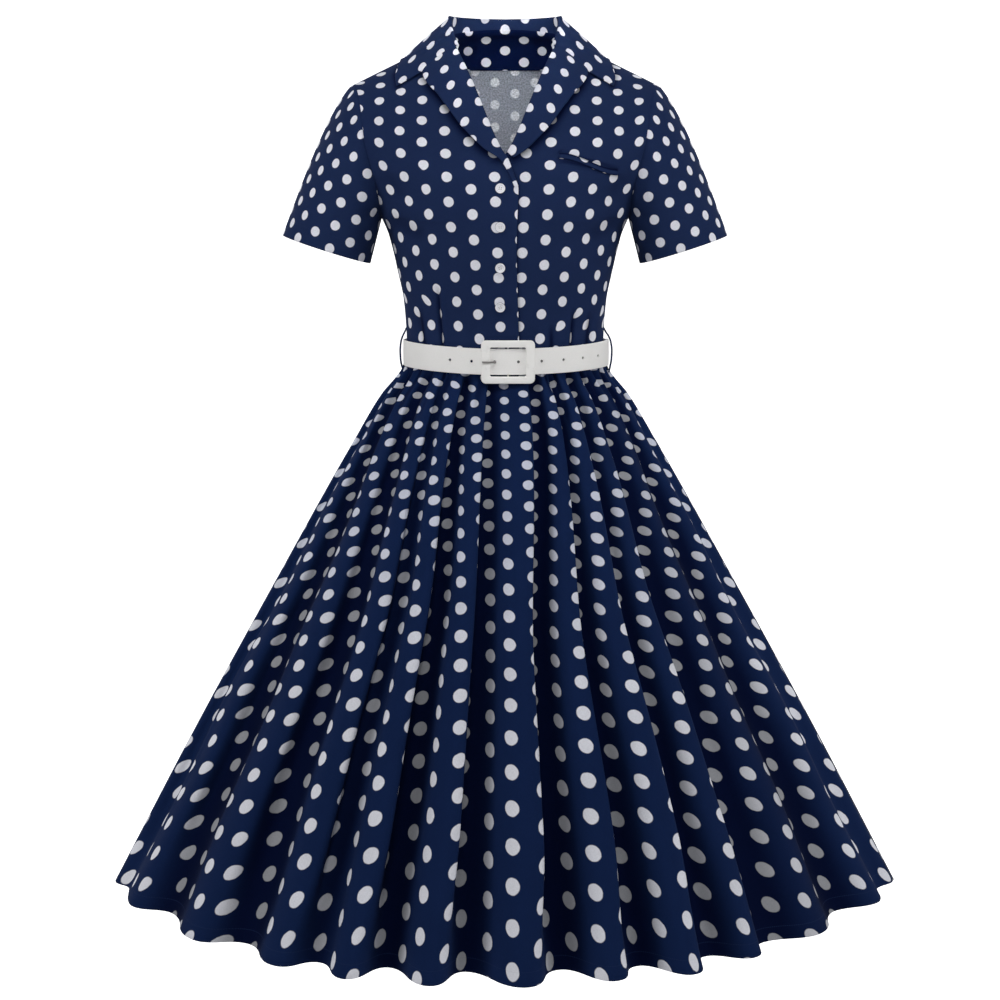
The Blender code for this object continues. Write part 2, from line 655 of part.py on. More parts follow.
def make_buckle():
    """A rounded frame over the strap, with a bar under it that joins the frame's top and bottom."""
    outer = rounded_rectangle(*BUCKLE_OUTER, BUCKLE_CORNER)
    inner = rounded_rectangle(*BUCKLE_WINDOW, BUCKLE_CORNER / 3.0)
    back, front = FRAME_BACK, FRAME_BACK + BUCKLE_THICK
    bevel = BUCKLE_BEVEL
    loops = (
        (outer, 0.0, back),
        (outer, 0.0, front - bevel),
        (outer, bevel, front),
        (inner, -bevel, front),
        (inner, 0.0, front - bevel),
        (inner, 0.0, back),
    )
    rings = []
    for outline, inset, lift in loops:
        centred = outline - np.sign(outline) * inset
        x = BUCKLE_X + centred[:, 0]
        rings.append(stacked(x, buckle_y(x, lift), BUCKLE_Z + centred[:, 1]))
    model = ring_solid(rings)
    frame = finish("belt_buckle", model, WHITE, PLASTIC_ROUGHNESS)
    profile = (
        (BAR_LIFT - BAR_THICK / 2.0, BAR_REACH),
        (back + BAR_SINK, BAR_REACH),
        (back + BAR_SINK, BAR_REACH - BAR_THICK),
        (BAR_LIFT + BAR_THICK / 2.0, BAR_REACH - BAR_THICK),
    )
    outline = [(lift, z) for lift, z in profile] + [(lift, -z) for lift, z in reversed(profile)]
    bar = bmesh.new()
    ends = []
    for x in (BUCKLE_X - BAR_WIDTH / 2.0, BUCKLE_X + BAR_WIDTH / 2.0):
        ends.append([bar.verts.new((x, -BELT_FRONT - lift, BUCKLE_Z + z)) for lift, z in outline])
    bar.faces.new(ends[0])
    bar.faces.new(ends[1][::-1])
    for step in range(len(outline)):
        after = (step + 1) % len(outline)
        bar.faces.new((ends[0][after], ends[0][step], ends[1][step], ends[1][after]))
    cut(frame, bar, "UNION")


def make_prong():
    """A round pin from the bar, up through its hole and over the frame's side to its tip."""
    path = np.array([(x, -BELT_FRONT - lift, BUCKLE_Z) for x, lift, _ in PRONG_PATH])
    steps = unit(np.diff(path, axis=0))
    before, after = np.vstack([steps[:1], steps]), np.vstack([steps, steps[-1:]])
    tangents = unit(before + after)
    mitres = 1.0 / (tangents * after).sum(axis=1)
    up = np.array((0.0, 0.0, 1.0))
    angles = np.linspace(0.0, 2.0 * math.pi, PRONG_SIDES, endpoint=False)[:, None]
    rings = []
    for point, tangent, mitre, (_, _, size) in zip(path, tangents, mitres, PRONG_PATH):
        circle = np.cos(angles) * np.cross(up, tangent) * mitre + np.sin(angles) * up
        rings.append(point + PRONG_RADIUS * size * circle)
    finish("belt_prong", stacked_rings(rings), WHITE, PLASTIC_ROUGHNESS)


def make_belt_loops():
    """Narrow loops at the side seams, from the bodice over the belt to the skirt."""
    for name, side_sign, stand in (("belt_loop_right", -1.0, 0.0), ("belt_loop_left", 1.0, BELT_LAYER)):
        path = [(x + stand * held, z) for x, z, held in LOOP_PATH]
        path[-1] = (path[-1][0], path[-1][1] - LOOP_DROP * stand)
        rows = [[(side_sign * x, y, z) for y in (-LOOP_WIDTH / 2.0, LOOP_WIDTH / 2.0)] for x, z in path]
        sheet(name, np.array(rows), NAVY, wall=LOOP_THICK)


def fold_columns(folds, per_half):
    """Angle, phase, spacing, and the two insets of every column; even turns of the phase are ridges."""
    places = np.arange(len(folds["angle"]), dtype=float)
    turns = np.linspace(0.0, places[-1], int(places[-1]) * per_half + 1)
    before = np.minimum(turns.astype(int), len(places) - 2)
    ridge = before + before % 2
    valley = before + 1 - before % 2
    spacing = 2.0 * np.diff(folds["angle"])[before]
    angle = np.interp(turns, places, folds["angle"])
    return angle, math.pi * turns, spacing, folds["inset"][ridge], folds["inset"][valley]


def skirt_points(folds, side, rings, per_half):
    angle, phase, spacing, crest, trough = fold_columns(folds, per_half)
    height, fold = rings["height"][:, None], rings["fold"][:, None]
    wide, deep = rings["side"][:, None], rings["front" if side < 0 else "back"][:, None]
    splay = SPLAY * smooth((height - SPLAY_END) / (rings["height"][0] - SPLAY_END))
    turn = np.radians(angle + splay * np.sin(2.0 * np.radians(angle)))
    x, y = wide * np.sin(turn), side * deep * np.cos(turn)
    out = unit(stacked(np.sin(turn) / wide, side * np.cos(turn) / deep, 0.0))
    along = stacked(side * out[..., 1], -side * out[..., 0], 0.0)
    width = np.radians(spacing) * np.hypot(wide * np.cos(turn), deep * np.sin(turn))
    wave = np.sign(np.cos(phase)) * np.abs(np.cos(phase)) ** RIDGE_FLATNESS
    inset = fold * ((crest + trough) / 2.0 + (crest - trough) / 2.0 * wave)
    bulb = BULB * width * smooth(fold * (trough - crest) / (FULL_FOLD * width)) * np.sin(2.0 * phase)
    return stacked(x, y, height) - out * inset[..., None] + along * bulb[..., None]


def make_skirt():
    for name, folds, side in (("skirt_front", FRONT_FOLDS, -1), ("skirt_back", BACK_FOLDS, 1)):
        points = skirt_points(folds, side, SKIRT, COLUMNS_PER_HALF)
        points[:, (0, -1), 1] += side * SEAM
        sheet(name, points, NAVY)


def material(name, colour, roughness):
    made = bpy.data.materials.new(name)
    made.use_nodes = True
    shader = made.node_tree.nodes["Principled BSDF"]
    shader.inputs["Base Color"].default_value = (*colour, 1.0)
    shader.inputs["Roughness"].default_value = roughness
    shader.inputs["Metallic"].default_value = 0.0
    return made


def finish(name, model, colour, roughness):
    """Makes the object of a model, shaded smooth except at its sharp edges."""
    bmesh.ops.recalc_face_normals(model, faces=model.faces)
    mesh = bpy.data.meshes.new(name)
    model.to_mesh(mesh)
    model.free()
    mesh.shade_smooth()
    mesh.set_sharp_from_angle(angle=SHARP)
    mesh.materials.append(material(name, colour, roughness))
    made = bpy.data.objects.new(name, mesh)
    bpy.context.scene.collection.objects.link(made)
    return made


def sheet(name, points, colour, wall=WALL, roughness=CLOTH_ROUGHNESS, tube=False):
    """A wall of even thickness on a grid of points; a tube closes on itself across its columns."""
    model = bmesh.new()
    rows = [[model.verts.new(point) for point in row] for row in points]
    count = len(rows[0])
    for lower, upper in zip(rows, rows[1:]):
        for step in range(count if tube else count - 1):
            after = (step + 1) % count
            model.faces.new((lower[step], lower[after], upper[after], upper[step]))
    made = finish(name, model, colour, roughness)
    solid = made.modifiers.new("Wall", "SOLIDIFY")
    solid.thickness = wall
    solid.offset = 0.0
    solid.use_even_offset = True
    solid.use_quality_normals = True
    return made


def stacked_rings(rings):
    """A body through rings of points, closed with a flat face at its first and last ring."""
    model = bmesh.new()
    loops = [[model.verts.new(point) for point in ring] for ring in rings]
    for first, second in zip(loops, loops[1:]):
        for step in range(len(first)):
            after = (step + 1) % len(first)
            model.faces.new((first[step], first[after], second[after], second[step]))
    model.faces.new(loops[0])
    model.faces.new(loops[-1][::-1])
    return model


def ring_solid(rings):
    """A closed ring through loops of points that follow its section round."""
    model = bmesh.new()
    loops = [[model.verts.new(point) for point in ring] for ring in rings]
    count = len(loops[0])
    for first, second in zip(loops, loops[1:] + loops[:1]):
        for step in range(count):
            after = (step + 1) % count
            model.faces.new((first[step], first[after], second[after], second[step]))
    return model


def cut(target, tool, operation):
    """Applies a hidden tool to an object with an exact Boolean."""
    bmesh.ops.recalc_face_normals(tool, faces=tool.faces)
    mesh = bpy.data.meshes.new(f"{target.name}_tool")
    tool.to_mesh(mesh)
    tool.free()
    cutter = bpy.data.objects.new(f"{target.name}_tool", mesh)
    bpy.context.scene.collection.objects.link(cutter)
    cutter.hide_render = True
    cutter.display_type = "WIRE"
    boolean = target.modifiers.new("Tool", "BOOLEAN")
    boolean.operation = operation
    boolean.solver = "EXACT"
    boolean.object = cutter


def main():
    for old in list(bpy.data.objects):
        bpy.data.objects.remove(old)
    make_fronts()
    make_back()
    make_neck_facing()
    make_sleeves()
    make_collar()
    make_lapels()
    make_pocket_welt()
    make_buttons()
    make_belt_strap()
    make_buckle()
    make_prong()
    make_belt_loops()
    make_skirt()


main()
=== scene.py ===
"""Looks of the A-line dress: its cloth with the dots, its creases, belt, buttons, light and camera.

Metres, +Z up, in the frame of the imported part. The front faces -Y and the wearer's left is +X.
Each piece of cloth is a thin shell on the form of its solid, through a finer grid of points.
"""

import math

import bmesh
import bpy
import numpy as np
from mathutils import Matrix, Vector


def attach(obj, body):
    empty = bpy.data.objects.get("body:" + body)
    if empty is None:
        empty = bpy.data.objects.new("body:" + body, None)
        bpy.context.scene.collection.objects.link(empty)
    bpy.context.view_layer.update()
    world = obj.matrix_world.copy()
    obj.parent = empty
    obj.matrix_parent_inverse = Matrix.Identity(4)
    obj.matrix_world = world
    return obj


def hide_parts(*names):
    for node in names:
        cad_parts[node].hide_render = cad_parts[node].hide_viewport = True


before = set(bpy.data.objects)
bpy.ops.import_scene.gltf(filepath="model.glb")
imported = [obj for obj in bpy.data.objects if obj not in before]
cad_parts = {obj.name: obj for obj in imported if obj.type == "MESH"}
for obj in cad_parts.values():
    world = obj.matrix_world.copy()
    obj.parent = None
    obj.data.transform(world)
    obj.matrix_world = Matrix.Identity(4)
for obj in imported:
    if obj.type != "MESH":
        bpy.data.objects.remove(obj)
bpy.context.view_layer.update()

# ---------------------------------------------------------------- sizes of the form

WALL = 0.0015  # thickness of the solids' cloth with its seam allowances
SEAM = 0.0003  # gap between pieces that are sewn or lie on each other
LAYER = WALL + SEAM  # from one layer's middle surface to the next one's

# Levels and landmarks of the bodice
WAIST, UNDERARM = -0.399, -0.22
NECK_X, NECK_Z = 0.071, 0.004  # shoulder seam at the neck
TIP_X, TIP_Z = 0.19, -0.054  # shoulder seam at the armhole
SHOULDER_Y = 0.012
BACK_NECK_Y, BACK_NECK_Z = 0.066, 0.012  # middle of the back neckline
CHEST_HALF_WIDTH = 0.2  # of the ellipse that the upper fronts and back follow
CHEST_SHARE = 0.3  # of the way up to the shoulder, over which the chest widens
ARMHOLE_Z, ARMHOLE_RISE = (UNDERARM + TIP_Z) / 2, (TIP_Z - UNDERARM) / 2
ARMHOLE_FRONT, ARMHOLE_BACK = 0.064, 0.068  # reach of the armhole to each side
BUTTON_EDGE = -0.022  # x of the underneath front's edge
LAP_EDGE_TURN = -0.15  # height under which the underneath front's edge runs straight
LAP_START, LAP_RUN = -0.07, 0.04  # x where the upper front starts to rise, and over what width
LAP_LAYER = 0.0021
LEAST_LAP = 0.02  # width of the fronts' first columns where they do not overlap

# Buttons, pocket, sleeves
BUTTON_X, BUTTON_HEIGHTS = -0.006, (-0.1815, -0.227, -0.276, -0.324)
BUTTON_RADIUS, BUTTON_THICK = 0.0062, 0.0024
WELT_START, WELT_END, WELT_HEIGHT = (0.0655, -0.139), (0.136, -0.1585), 0.0065
CUFF_CENTRE, CUFF_DEPTH = (0.224, -0.004, -0.257), 0.06
CUFF_REACH = (0.0545, 0.0175)  # x and z from the cuff's centre to its outer point
CAP_BULGE, CAP_SKEW = 0.008, 0.65
CAP_WAY = (0.9, 0.434)  # x and z of the way in which the top of a sleeve bulges
# How far a sleeve's first ring stands off the armhole, and what is added to that under the arm
SLEEVE_STEP, UNDERARM_STEP, UNDERARM_RISE = 0.0007, 0.0014, 0.0006

# Collar, lapels and facing
CREST_HALF, CREST_DROP = 0.0017, 0.0016
COLLAR_BULGE, COLLAR_LIFT = 0.0015, 0.0034
COLLAR_SAG = 0.001  # of the fall between the crest and the shoulder
COLLAR_FREE_X = 0.021  # nearer the middle of the back the fall hangs free of the bodice
NOTCH_FROM = 0.8  # share of the collar's half after which its front end dips to the notch
NOTCH_DROP, NOTCH_SHARE = 0.013, 0.535  # how far the gorge dips, and where across the fall
LAPEL_BASE = 0.0019
FACING_LAYER = 0.0025

# Belt
BELT_WIDTH, BELT_THICK, BELT_LAYER = 0.032, 0.0018, 0.0024
BELT_Z, BELT_DIP = -0.387, 0.0048  # at the sides, and how far the front hangs lower
BELT_SIDE, BELT_FRONT, BELT_BACK = 0.1276, 0.101, 0.087
BELT_HOLES, HOLES_BEFORE, HOLE_PITCH, HOLE_RADIUS = 8, 2, 0.029, 0.0016
CUTTER_DEPTH = 0.0036
STRAP_START, STRAP_END = math.radians(2.8), math.radians(458)
STRAP_CLIMB = math.radians(322), math.radians(350)
BUCKLE_X, BUCKLE_Z = 0.0034, BELT_Z - BELT_DIP
BUCKLE_OUTER, BUCKLE_WINDOW = (0.066, 0.053), (0.044, 0.0355)
BUCKLE_THICK, BUCKLE_CORNER, BUCKLE_CURVE = 0.0036, 0.006, 0.7
FRAME_BACK = BELT_LAYER + BELT_THICK / 2 + SEAM  # beyond the fixed strap's middle
BAR_THICK, BAR_REACH = 0.0022, 0.0205
PRONG_RADIUS, PRONG_HOLE_X = 0.001, -0.0126
# x and distance beyond the fixed strap's middle, and share of the radius, from root to tip
PRONG_PATH = (
    (0.0012, -0.0001, 1), (-0.007, -0.0002, 1), (-0.0126, -0.0003, 1), (-0.0126, 0.0047, 1),
    (-0.0155, 0.0068, 1), (-0.019, 0.0079, 1), (-0.024, 0.0074, 0.95), (-0.0285, 0.0067, 0.75),
)
# x and z of a loop, and whether it stands out with the belt's layers
LOOP_PATH = (
    (0.1244, -0.3565, 0), (0.1262, -0.361, 0.2), (0.1292, -0.3668, 0.55), (0.1315, -0.3745, 0.85),
    (0.1325, -0.385, 1), (0.1321, -0.3955, 1), (0.1308, -0.4035, 1), (0.129, -0.409, 1),
)
LOOP_DROP = 1.3  # how much lower a loop ends for each length that it stands out
LOOP_WIDTH = 0.005

# Skirt
SPLAY, SPLAY_END = 6.5, -0.7  # degrees that folds start nearer the sides, and where it ends
# Share of a fold's spacing by which ridge and valley widen on its steep side and on its soft one,
# and by which the ridges lean to the left of the wearer
BULB_STEEP, BULB_SOFT, LEAN = 0.13, 0.03, 0.05
RIDGE_FLATNESS, FULL_FOLD = 0.92, 0.55
# Share by which folds stand straight again at the hem, from what height, and over how much
HEM_EVEN, HEM_EVEN_FROM, HEM_EVEN_RUN = 0.75, -0.92, 0.15


def table(columns, *rows):
    """A dictionary with one array for each named column; heights rise from row to row."""
    return dict(zip(columns.split(), np.array(rows, float).T))


# Sections of the bodice from the waist seam to the underarm
BODICE = table(
    "height side front back",
    (-0.399, 0.1232, 0.0962, 0.082), (-0.363, 0.124, 0.097, 0.0832), (-0.321, 0.1272, 0.106, 0.088),
    (-0.285, 0.1345, 0.114, 0.094), (-0.244, 0.144, 0.1215, 0.1), (-0.22, 0.1535, 0.124, 0.103),
)
# Seam of the armhole, seen from the front
ARMHOLE = table(
    "height x",
    (-0.22, 0.1535), (-0.184, 0.1575), (-0.158, 0.164), (-0.122, 0.173), (-0.081, 0.1785),
    (-0.058, 0.185), (-0.054, 0.19),
)
# Line on which a lapel turns over, and its free edge, from the gorge down; x is for the left
LAPEL = table(
    "roll_x roll_z edge_x edge_z lift",
    (0.059, -0.015, 0.098, -0.047, 0.003), (0.053, -0.027, 0.091, -0.0585, 0.0045),
    (0.045, -0.044, 0.08, -0.07, 0.005), (0.0355, -0.066, 0.067, -0.088, 0.005),
    (0.026, -0.089, 0.0535, -0.106, 0.0045), (0.0165, -0.112, 0.039, -0.1215, 0.004),
    (0.0085, -0.129, 0.024, -0.1355, 0.0032), (0.0035, -0.138, 0.01, -0.144, 0.0024),
)
# How the right lapel runs out along the edge of the upper front
LAPEL_TAIL = table(
    "roll_x roll_z edge_x edge_z lift",
    (-0.001, -0.1435, 0.005, -0.148, 0.0024), (-0.006, -0.1555, -0.002, -0.1585, 0.0022),
    (-0.014, -0.179, -0.0118, -0.18, 0.002),
)
# Free edge of the fronts: x for the upper one, which is the wearer's right
LAP_EDGE = table(
    "height x",
    (-0.399, 0.0165), (-0.358, 0.016), (-0.297, 0.014), (-0.255, 0.013), (-0.219, 0.0138),
    (-0.183, 0.0152), (-0.1555, 0.006), (-0.143, 0.001), (-0.129, -0.0085), (-0.112, -0.0165),
    (-0.089, -0.026), (-0.066, -0.0355), (-0.044, -0.045), (-0.027, -0.053), (-0.014, -0.061),
    (-0.006, -0.0665), (0.004, -0.071),
)
# Collar, from the middle of the back to its front end, for the left side
COLLAR = table(
    "neck_x neck_y neck_z crest_x crest_y crest_z edge_x edge_y edge_z",
    (0, 0.066, 0.012, 0, 0.0675, 0.03, 0, 0.091, -0.01),
    (0.0272, 0.0619, 0.0108, 0.0268, 0.064, 0.0303, 0.042, 0.085, -0.0115),
    (0.0502, 0.0502, 0.008, 0.0496, 0.052, 0.0308, 0.08, 0.063, -0.015),
    (0.0656, 0.0327, 0.0052, 0.0645, 0.0335, 0.0312, 0.107, 0.038, -0.018),
    (0.071, 0.012, 0.004, 0.069, 0.013, 0.031, 0.1235, 0.012, -0.019),
    (0.069, -0.008, 0.0014, 0.068, -0.006, 0.02, 0.1305, -0.017, -0.0315),
    (0.065, -0.025, -0.0056, 0.0645, -0.023, 0.007, 0.135, -0.037, -0.044),
    (0.0595, -0.04, -0.013, 0.059, -0.039, -0.006, 0.132, -0.049, -0.056),
)
# Sections of the skirt round the folds' ridges, and half the folds' depth
SKIRT = table(
    "height side front back fold",
    (-1.075, 0.508, 0.4265, 0.415, 0.032), (-0.87, 0.3995, 0.334, 0.325, 0.026),
    (-0.66, 0.283, 0.237, 0.229, 0.0185), (-0.499, 0.1915, 0.152, 0.145, 0.0115),
    (-0.44, 0.1545, 0.117, 0.106, 0.0075), (-0.418, 0.1345, 0.0998, 0.09, 0.004),
    (-0.407, 0.1262, 0.0974, 0.0843, 0.0016), (-0.3997, 0.1243, 0.0965, 0.0828, 0.0008),
)
# Ridges and valleys by turns from the wearer's right to the left, with a ridge on each side seam:
# the angle from the middle, and how far in from the section, in half depths of the folds
FRONT_FOLDS = table(
    "angle inset",
    (-90, 0.05), (-84, 0.75), (-75, 0.6), (-65.5, 1.8), (-51, 0.8), (-42.5, 1.9), (-32.5, 0.45),
    (-27.5, 1.5), (-21.5, 0.1), (-17, 1.76), (-10, 0), (-5.6, 1.7), (2.2, 0), (8.4, 1.9),
    (14.2, 0.35), (20, 1.8), (25.2, 0.25), (31.4, 1.9), (36.8, 0.85), (43.5, 2), (53.5, 1.15),
    (66.5, 2.05), (77, 0.7), (84, 0.9), (90, 0.1),
)
BACK_FOLDS = table(
    "angle inset",
    (-90, 0.05), (-82, 1.45), (-76.5, 0.35), (-68, 1.95), (-57.5, 0.1), (-51.5, 1.55),
    (-46.5, 0.65), (-38, 2), (-28.5, 0), (-23.5, 1.4), (-19, 0.4), (-11.5, 1.95), (-3, 0.05),
    (3.5, 1.6), (8.5, 0.55), (15.5, 2), (24, 0.1), (31, 1.85), (36.5, 0.75), (42, 1.5), (49.5, 0),
    (58.5, 1.95), (65.5, 0.45), (71, 1.5), (77.5, 0.2), (84.5, 1.6), (90, 0.05),
)


def smooth(t):
    """Eases from 0 to 1."""
    t = np.clip(t, 0, 1)
    return t * t * (3 - 2 * t)


def curve(known, values, wanted):
    """Cubic through the values at the known places, which rise; it never overshoots them."""
    steps = np.diff(known)
    slopes = np.diff(values) / steps
    both = slopes[:-1] * slopes[1:]
    total = np.where(both > 0, slopes[:-1] + slopes[1:], 1)
    inner = np.where(both > 0, 2 * both / total, 0)
    tangents = np.concatenate([slopes[:1], inner, slopes[-1:]])
    wanted = np.clip(wanted, known[0], known[-1])
    span = np.clip(np.searchsorted(known, wanted) - 1, 0, len(steps) - 1)
    t = (wanted - known[span]) / steps[span]
    bend = tangents[span] * (t - 2 * t**2 + t**3) + tangents[span + 1] * (t**3 - t**2)
    return values[span] * (1 - smooth(t)) + values[span + 1] * smooth(t) + bend * steps[span]


def at(sections, column, height):
    """A column of a table of sections, read at a height."""
    return curve(sections["height"], sections[column], height)


def resampled(columns, shares):
    """Columns of numbers, read at shares of their length."""
    places = np.arange(len(columns[0]), dtype=float)
    return [curve(places, column, shares * places[-1]) for column in columns]


def stacked(*parts):
    return np.stack(np.broadcast_arrays(*parts), axis=-1)


def unit(vectors):
    return vectors / np.maximum(np.linalg.norm(vectors, axis=-1, keepdims=True), 1e-12)


def both_halves(half):
    """Numbers from the middle to the left, with the same ones on the right before them."""
    return np.concatenate([-half[:0:-1], half])


def running(steps, axis=0):
    """Running sum of steps, from 0."""
    start = np.zeros_like(np.take(steps, [0], axis=axis))
    return np.concatenate([start, np.cumsum(steps, axis=axis)], axis=axis)


def lengths_along(points, axis):
    """Distance along the grid's lines, from 0 at the first point."""
    return running(np.linalg.norm(np.diff(points, axis=axis), axis=-1), axis)


# ---------------------------------------------------------------- form of the bodice and sleeves

# The bodice's middle surface gives y for each x and z. The front is side -1 and the back side +1.


def top_z(x, side):
    """Height of the shoulder seam, or between its two ends that of the neckline."""
    x = np.abs(x)
    shoulder = NECK_Z + (TIP_Z - NECK_Z) * (x - NECK_X) / (TIP_X - NECK_X)
    neck = NECK_Z + (BACK_NECK_Z - NECK_Z) * (1 - (x / NECK_X) ** 2) * (side > 0)
    return np.where(x > NECK_X, shoulder, neck)


def top_y(x, side):
    scoop = np.sqrt(np.clip(1 - (x / NECK_X) ** 2, 0, 1))
    return SHOULDER_Y + (BACK_NECK_Y - SHOULDER_Y) * scoop * (side > 0)


def armhole_y(z, side):
    around = np.clip((z - ARMHOLE_Z) / ARMHOLE_RISE, -1, 1)
    reach = ARMHOLE_BACK if side > 0 else ARMHOLE_FRONT
    return SHOULDER_Y * (1 + around) / 2 + side * reach * np.sqrt(1 - around**2)


def plain_depth(x, z, side):
    """Y of the bodice before its edge is drawn to the armhole."""
    share = np.clip((z - UNDERARM) / (top_z(x, side) - UNDERARM), 0, 1)
    low = np.minimum(z, UNDERARM)
    width = at(BODICE, "side", low)
    width = width + (CHEST_HALF_WIDTH - width) * smooth(share / CHEST_SHARE) * (share > 0)
    reach = at(BODICE, "back" if side > 0 else "front", low)
    level = side * reach * np.sqrt(np.clip(1 - (x / width) ** 2, 0, 1))
    over = top_y(x, side) + (level - top_y(x, side)) * np.sqrt(1 - share**2)
    return np.where(share > 0, over, level)


def depth(x, z, side):
    x, z = np.broadcast_arrays(np.asarray(x, float), np.asarray(z, float))
    seam = at(ARMHOLE, "x", z)
    pull = armhole_y(z, side) - plain_depth(seam, z, side)
    pull = pull * np.clip(np.abs(x) / seam, 0, 1) ** 4
    return plain_depth(x, z, side) + np.where((z > UNDERARM) & (z < TIP_Z), pull, 0)


def normals(x, z, side):
    """Unit normals of the bodice, away from the wearer."""
    step = 0.0005
    across = (depth(x + step, z, side) - depth(x - step, z, side)) / (2 * step)
    along = (depth(x, z + step, side) - depth(x, z - step, side)) / (2 * step)
    return side * unit(stacked(-across, 1, -along))


def on_bodice(x, z, side, lift):
    """Points on the bodice, moved out by lift."""
    lift = np.broadcast_to(lift, np.broadcast(x, z).shape)
    return stacked(x, depth(x, z, side), z) + normals(x, z, side) * lift[..., None]


def lap_lift(x):
    """How far the upper front stands off where it crosses the lower one."""
    return LAP_LAYER * smooth((x - LAP_START) / LAP_RUN)


def side_edge(z):
    return float(at(ARMHOLE, "x", z) if z > UNDERARM else at(BODICE, "side", z))


def upper_edge(z):
    return float(at(LAP_EDGE, "x", z))


def lower_edge(z):
    """The lower front mirrors the upper one above the first button, and stops short below it."""
    return max(-upper_edge(z), BUTTON_EDGE) if z > LAP_EDGE_TURN else BUTTON_EDGE


def sleeve_points(side_sign, around, along):
    """Rings from armhole to cuff. around is 0 at the top and a quarter turn at the front."""
    sin, cos = np.sin(around), np.cos(around)
    z = ARMHOLE_Z + ARMHOLE_RISE * cos
    under = (1 - cos) / 2
    start = stacked(
        at(ARMHOLE, "x", z) + SLEEVE_STEP + UNDERARM_STEP * under**2,
        np.where(sin >= 0, armhole_y(z, -1), armhole_y(z, 1)),
        z + UNDERARM_RISE * under**2,
    )
    end = CUFF_CENTRE + stacked(CUFF_REACH[0] * cos, -CUFF_DEPTH * sin, CUFF_REACH[1] * cos)
    bulge = CAP_BULGE * np.sin(math.pi * along**CAP_SKEW) * (1 - under)
    out = stacked(CAP_WAY[0] * cos, -sin, CAP_WAY[1] * cos)
    points = start * (1 - along[..., None]) + end * along[..., None] + out * bulge[..., None]
    return points * (side_sign, 1, 1)


def clear_of_bodice(points, lift):
    """Moves points that lie too low on the shoulders out to this height over the bodice."""
    points = points.copy()
    for side in (-1, 1):
        x, y, z = np.moveaxis(points, -1, 0)
        mine = (y < SHOULDER_Y) if side < 0 else (y >= SHOULDER_Y)
        inside = mine & (z < top_z(x, side)) & (np.abs(x) > COLLAR_FREE_X)
        out = normals(x, z, side)
        height = ((points - stacked(x, depth(x, z, side), z)) * out).sum(axis=-1)
        short = np.where(inside, np.maximum(lift - height, 0), 0)
        points += out * short[..., None]
    return points


# ---------------------------------------------------------------- form of the belt and skirt


def belt_curve(turn, lift):
    """Points of the belt's middle line; turn is 0 at the middle of the front."""
    reach = np.where(np.cos(turn) > 0, BELT_FRONT, BELT_BACK)
    across, forward = np.sin(turn), -np.cos(turn)
    out = unit(stacked(across / BELT_SIDE, forward / reach, 0))
    z = BELT_Z - BELT_DIP * np.clip(np.cos(turn), 0, 1) ** 2
    return stacked(BELT_SIDE * across, reach * forward, z) + out * np.asarray(lift)[..., None], out


def strap_lift(turn):
    """The strap's free end lies on its fixed end from the buckle on."""
    return BELT_LAYER * smooth((turn - STRAP_CLIMB[0]) / (STRAP_CLIMB[1] - STRAP_CLIMB[0]))


def hole_turns():
    """Where the strap's holes lie: one is under the prong and the rest are a pitch apart."""
    turns = np.linspace(STRAP_START, STRAP_END, 2000)
    lengths = lengths_along(belt_curve(turns, strap_lift(turns))[0], 0)
    prong = np.interp(2 * math.pi + math.asin(PRONG_HOLE_X / BELT_SIDE), turns, lengths)
    wanted = prong + HOLE_PITCH * (np.arange(BELT_HOLES) - HOLES_BEFORE)
    return np.interp(wanted, lengths, turns)


def buckle_y(x, lift):
    """The frame follows part of the belt's curve."""
    reach = BELT_FRONT + lift
    return -reach + BUCKLE_CURVE * reach * (1 - np.sqrt(1 - (x / BELT_SIDE) ** 2))


def fold_columns(folds, per_half):
    """Angle, phase, spacing and two insets of each column; even turns of the phase are ridges."""
    places = np.arange(len(folds["angle"]), dtype=float)
    turns = np.linspace(0, places[-1], int(places[-1]) * per_half + 1)
    before = np.minimum(turns.astype(int), len(places) - 2)
    ridge = before + before % 2
    valley = before + 1 - before % 2
    spacing = 2 * np.diff(folds["angle"])[before]
    angle = np.interp(turns, places, folds["angle"])
    return angle, math.pi * turns, spacing, folds["inset"][ridge], folds["inset"][valley]


def fold_depth(phase, crest, trough):
    """How far in a column lies, in half depths of the folds."""
    wave = np.sign(np.cos(phase)) * np.abs(np.cos(phase)) ** RIDGE_FLATNESS
    return (crest + trough) / 2 + (crest - trough) / 2 * wave


def skirt_points(columns, side, rings, even_hem=True):
    angle, phase, spacing, crest, trough = columns
    height, fold = rings["height"][:, None], rings["fold"][:, None]
    wide, deep = rings["side"][:, None], rings["front" if side < 0 else "back"][:, None]
    splay = SPLAY * smooth((height - SPLAY_END) / (rings["height"][0] - SPLAY_END))
    turn = np.radians(angle + splay * np.sin(2 * np.radians(angle)))
    out = unit(stacked(np.sin(turn) / wide, side * np.cos(turn) / deep, 0))
    along = stacked(side * out[..., 1], -side * out[..., 0], 0)
    width = np.radians(spacing) * np.hypot(wide * np.cos(turn), deep * np.sin(turn))
    inset = fold * fold_depth(phase, crest, trough)
    full = smooth(fold * (trough - crest) / (FULL_FOLD * width))
    steep = np.sin(phase) * side <= 0
    bulb = np.where(steep, BULB_STEEP, BULB_SOFT) * np.sin(2 * phase)
    even = 1 - even_hem * HEM_EVEN * smooth((HEM_EVEN_FROM - height) / HEM_EVEN_RUN)
    sideways = width * full * even * (bulb - side * LEAN * np.cos(phase))
    section = stacked(wide * np.sin(turn), side * deep * np.cos(turn), height)
    return section - out * inset[..., None] + along * sideways[..., None]


# ---------------------------------------------------------------- grids of cloth

CLOTH = 0.0009  # thickness of the cloth that is shown
HEM_ROUND = 0.6  # share of the thickness by which a finished edge is rounded


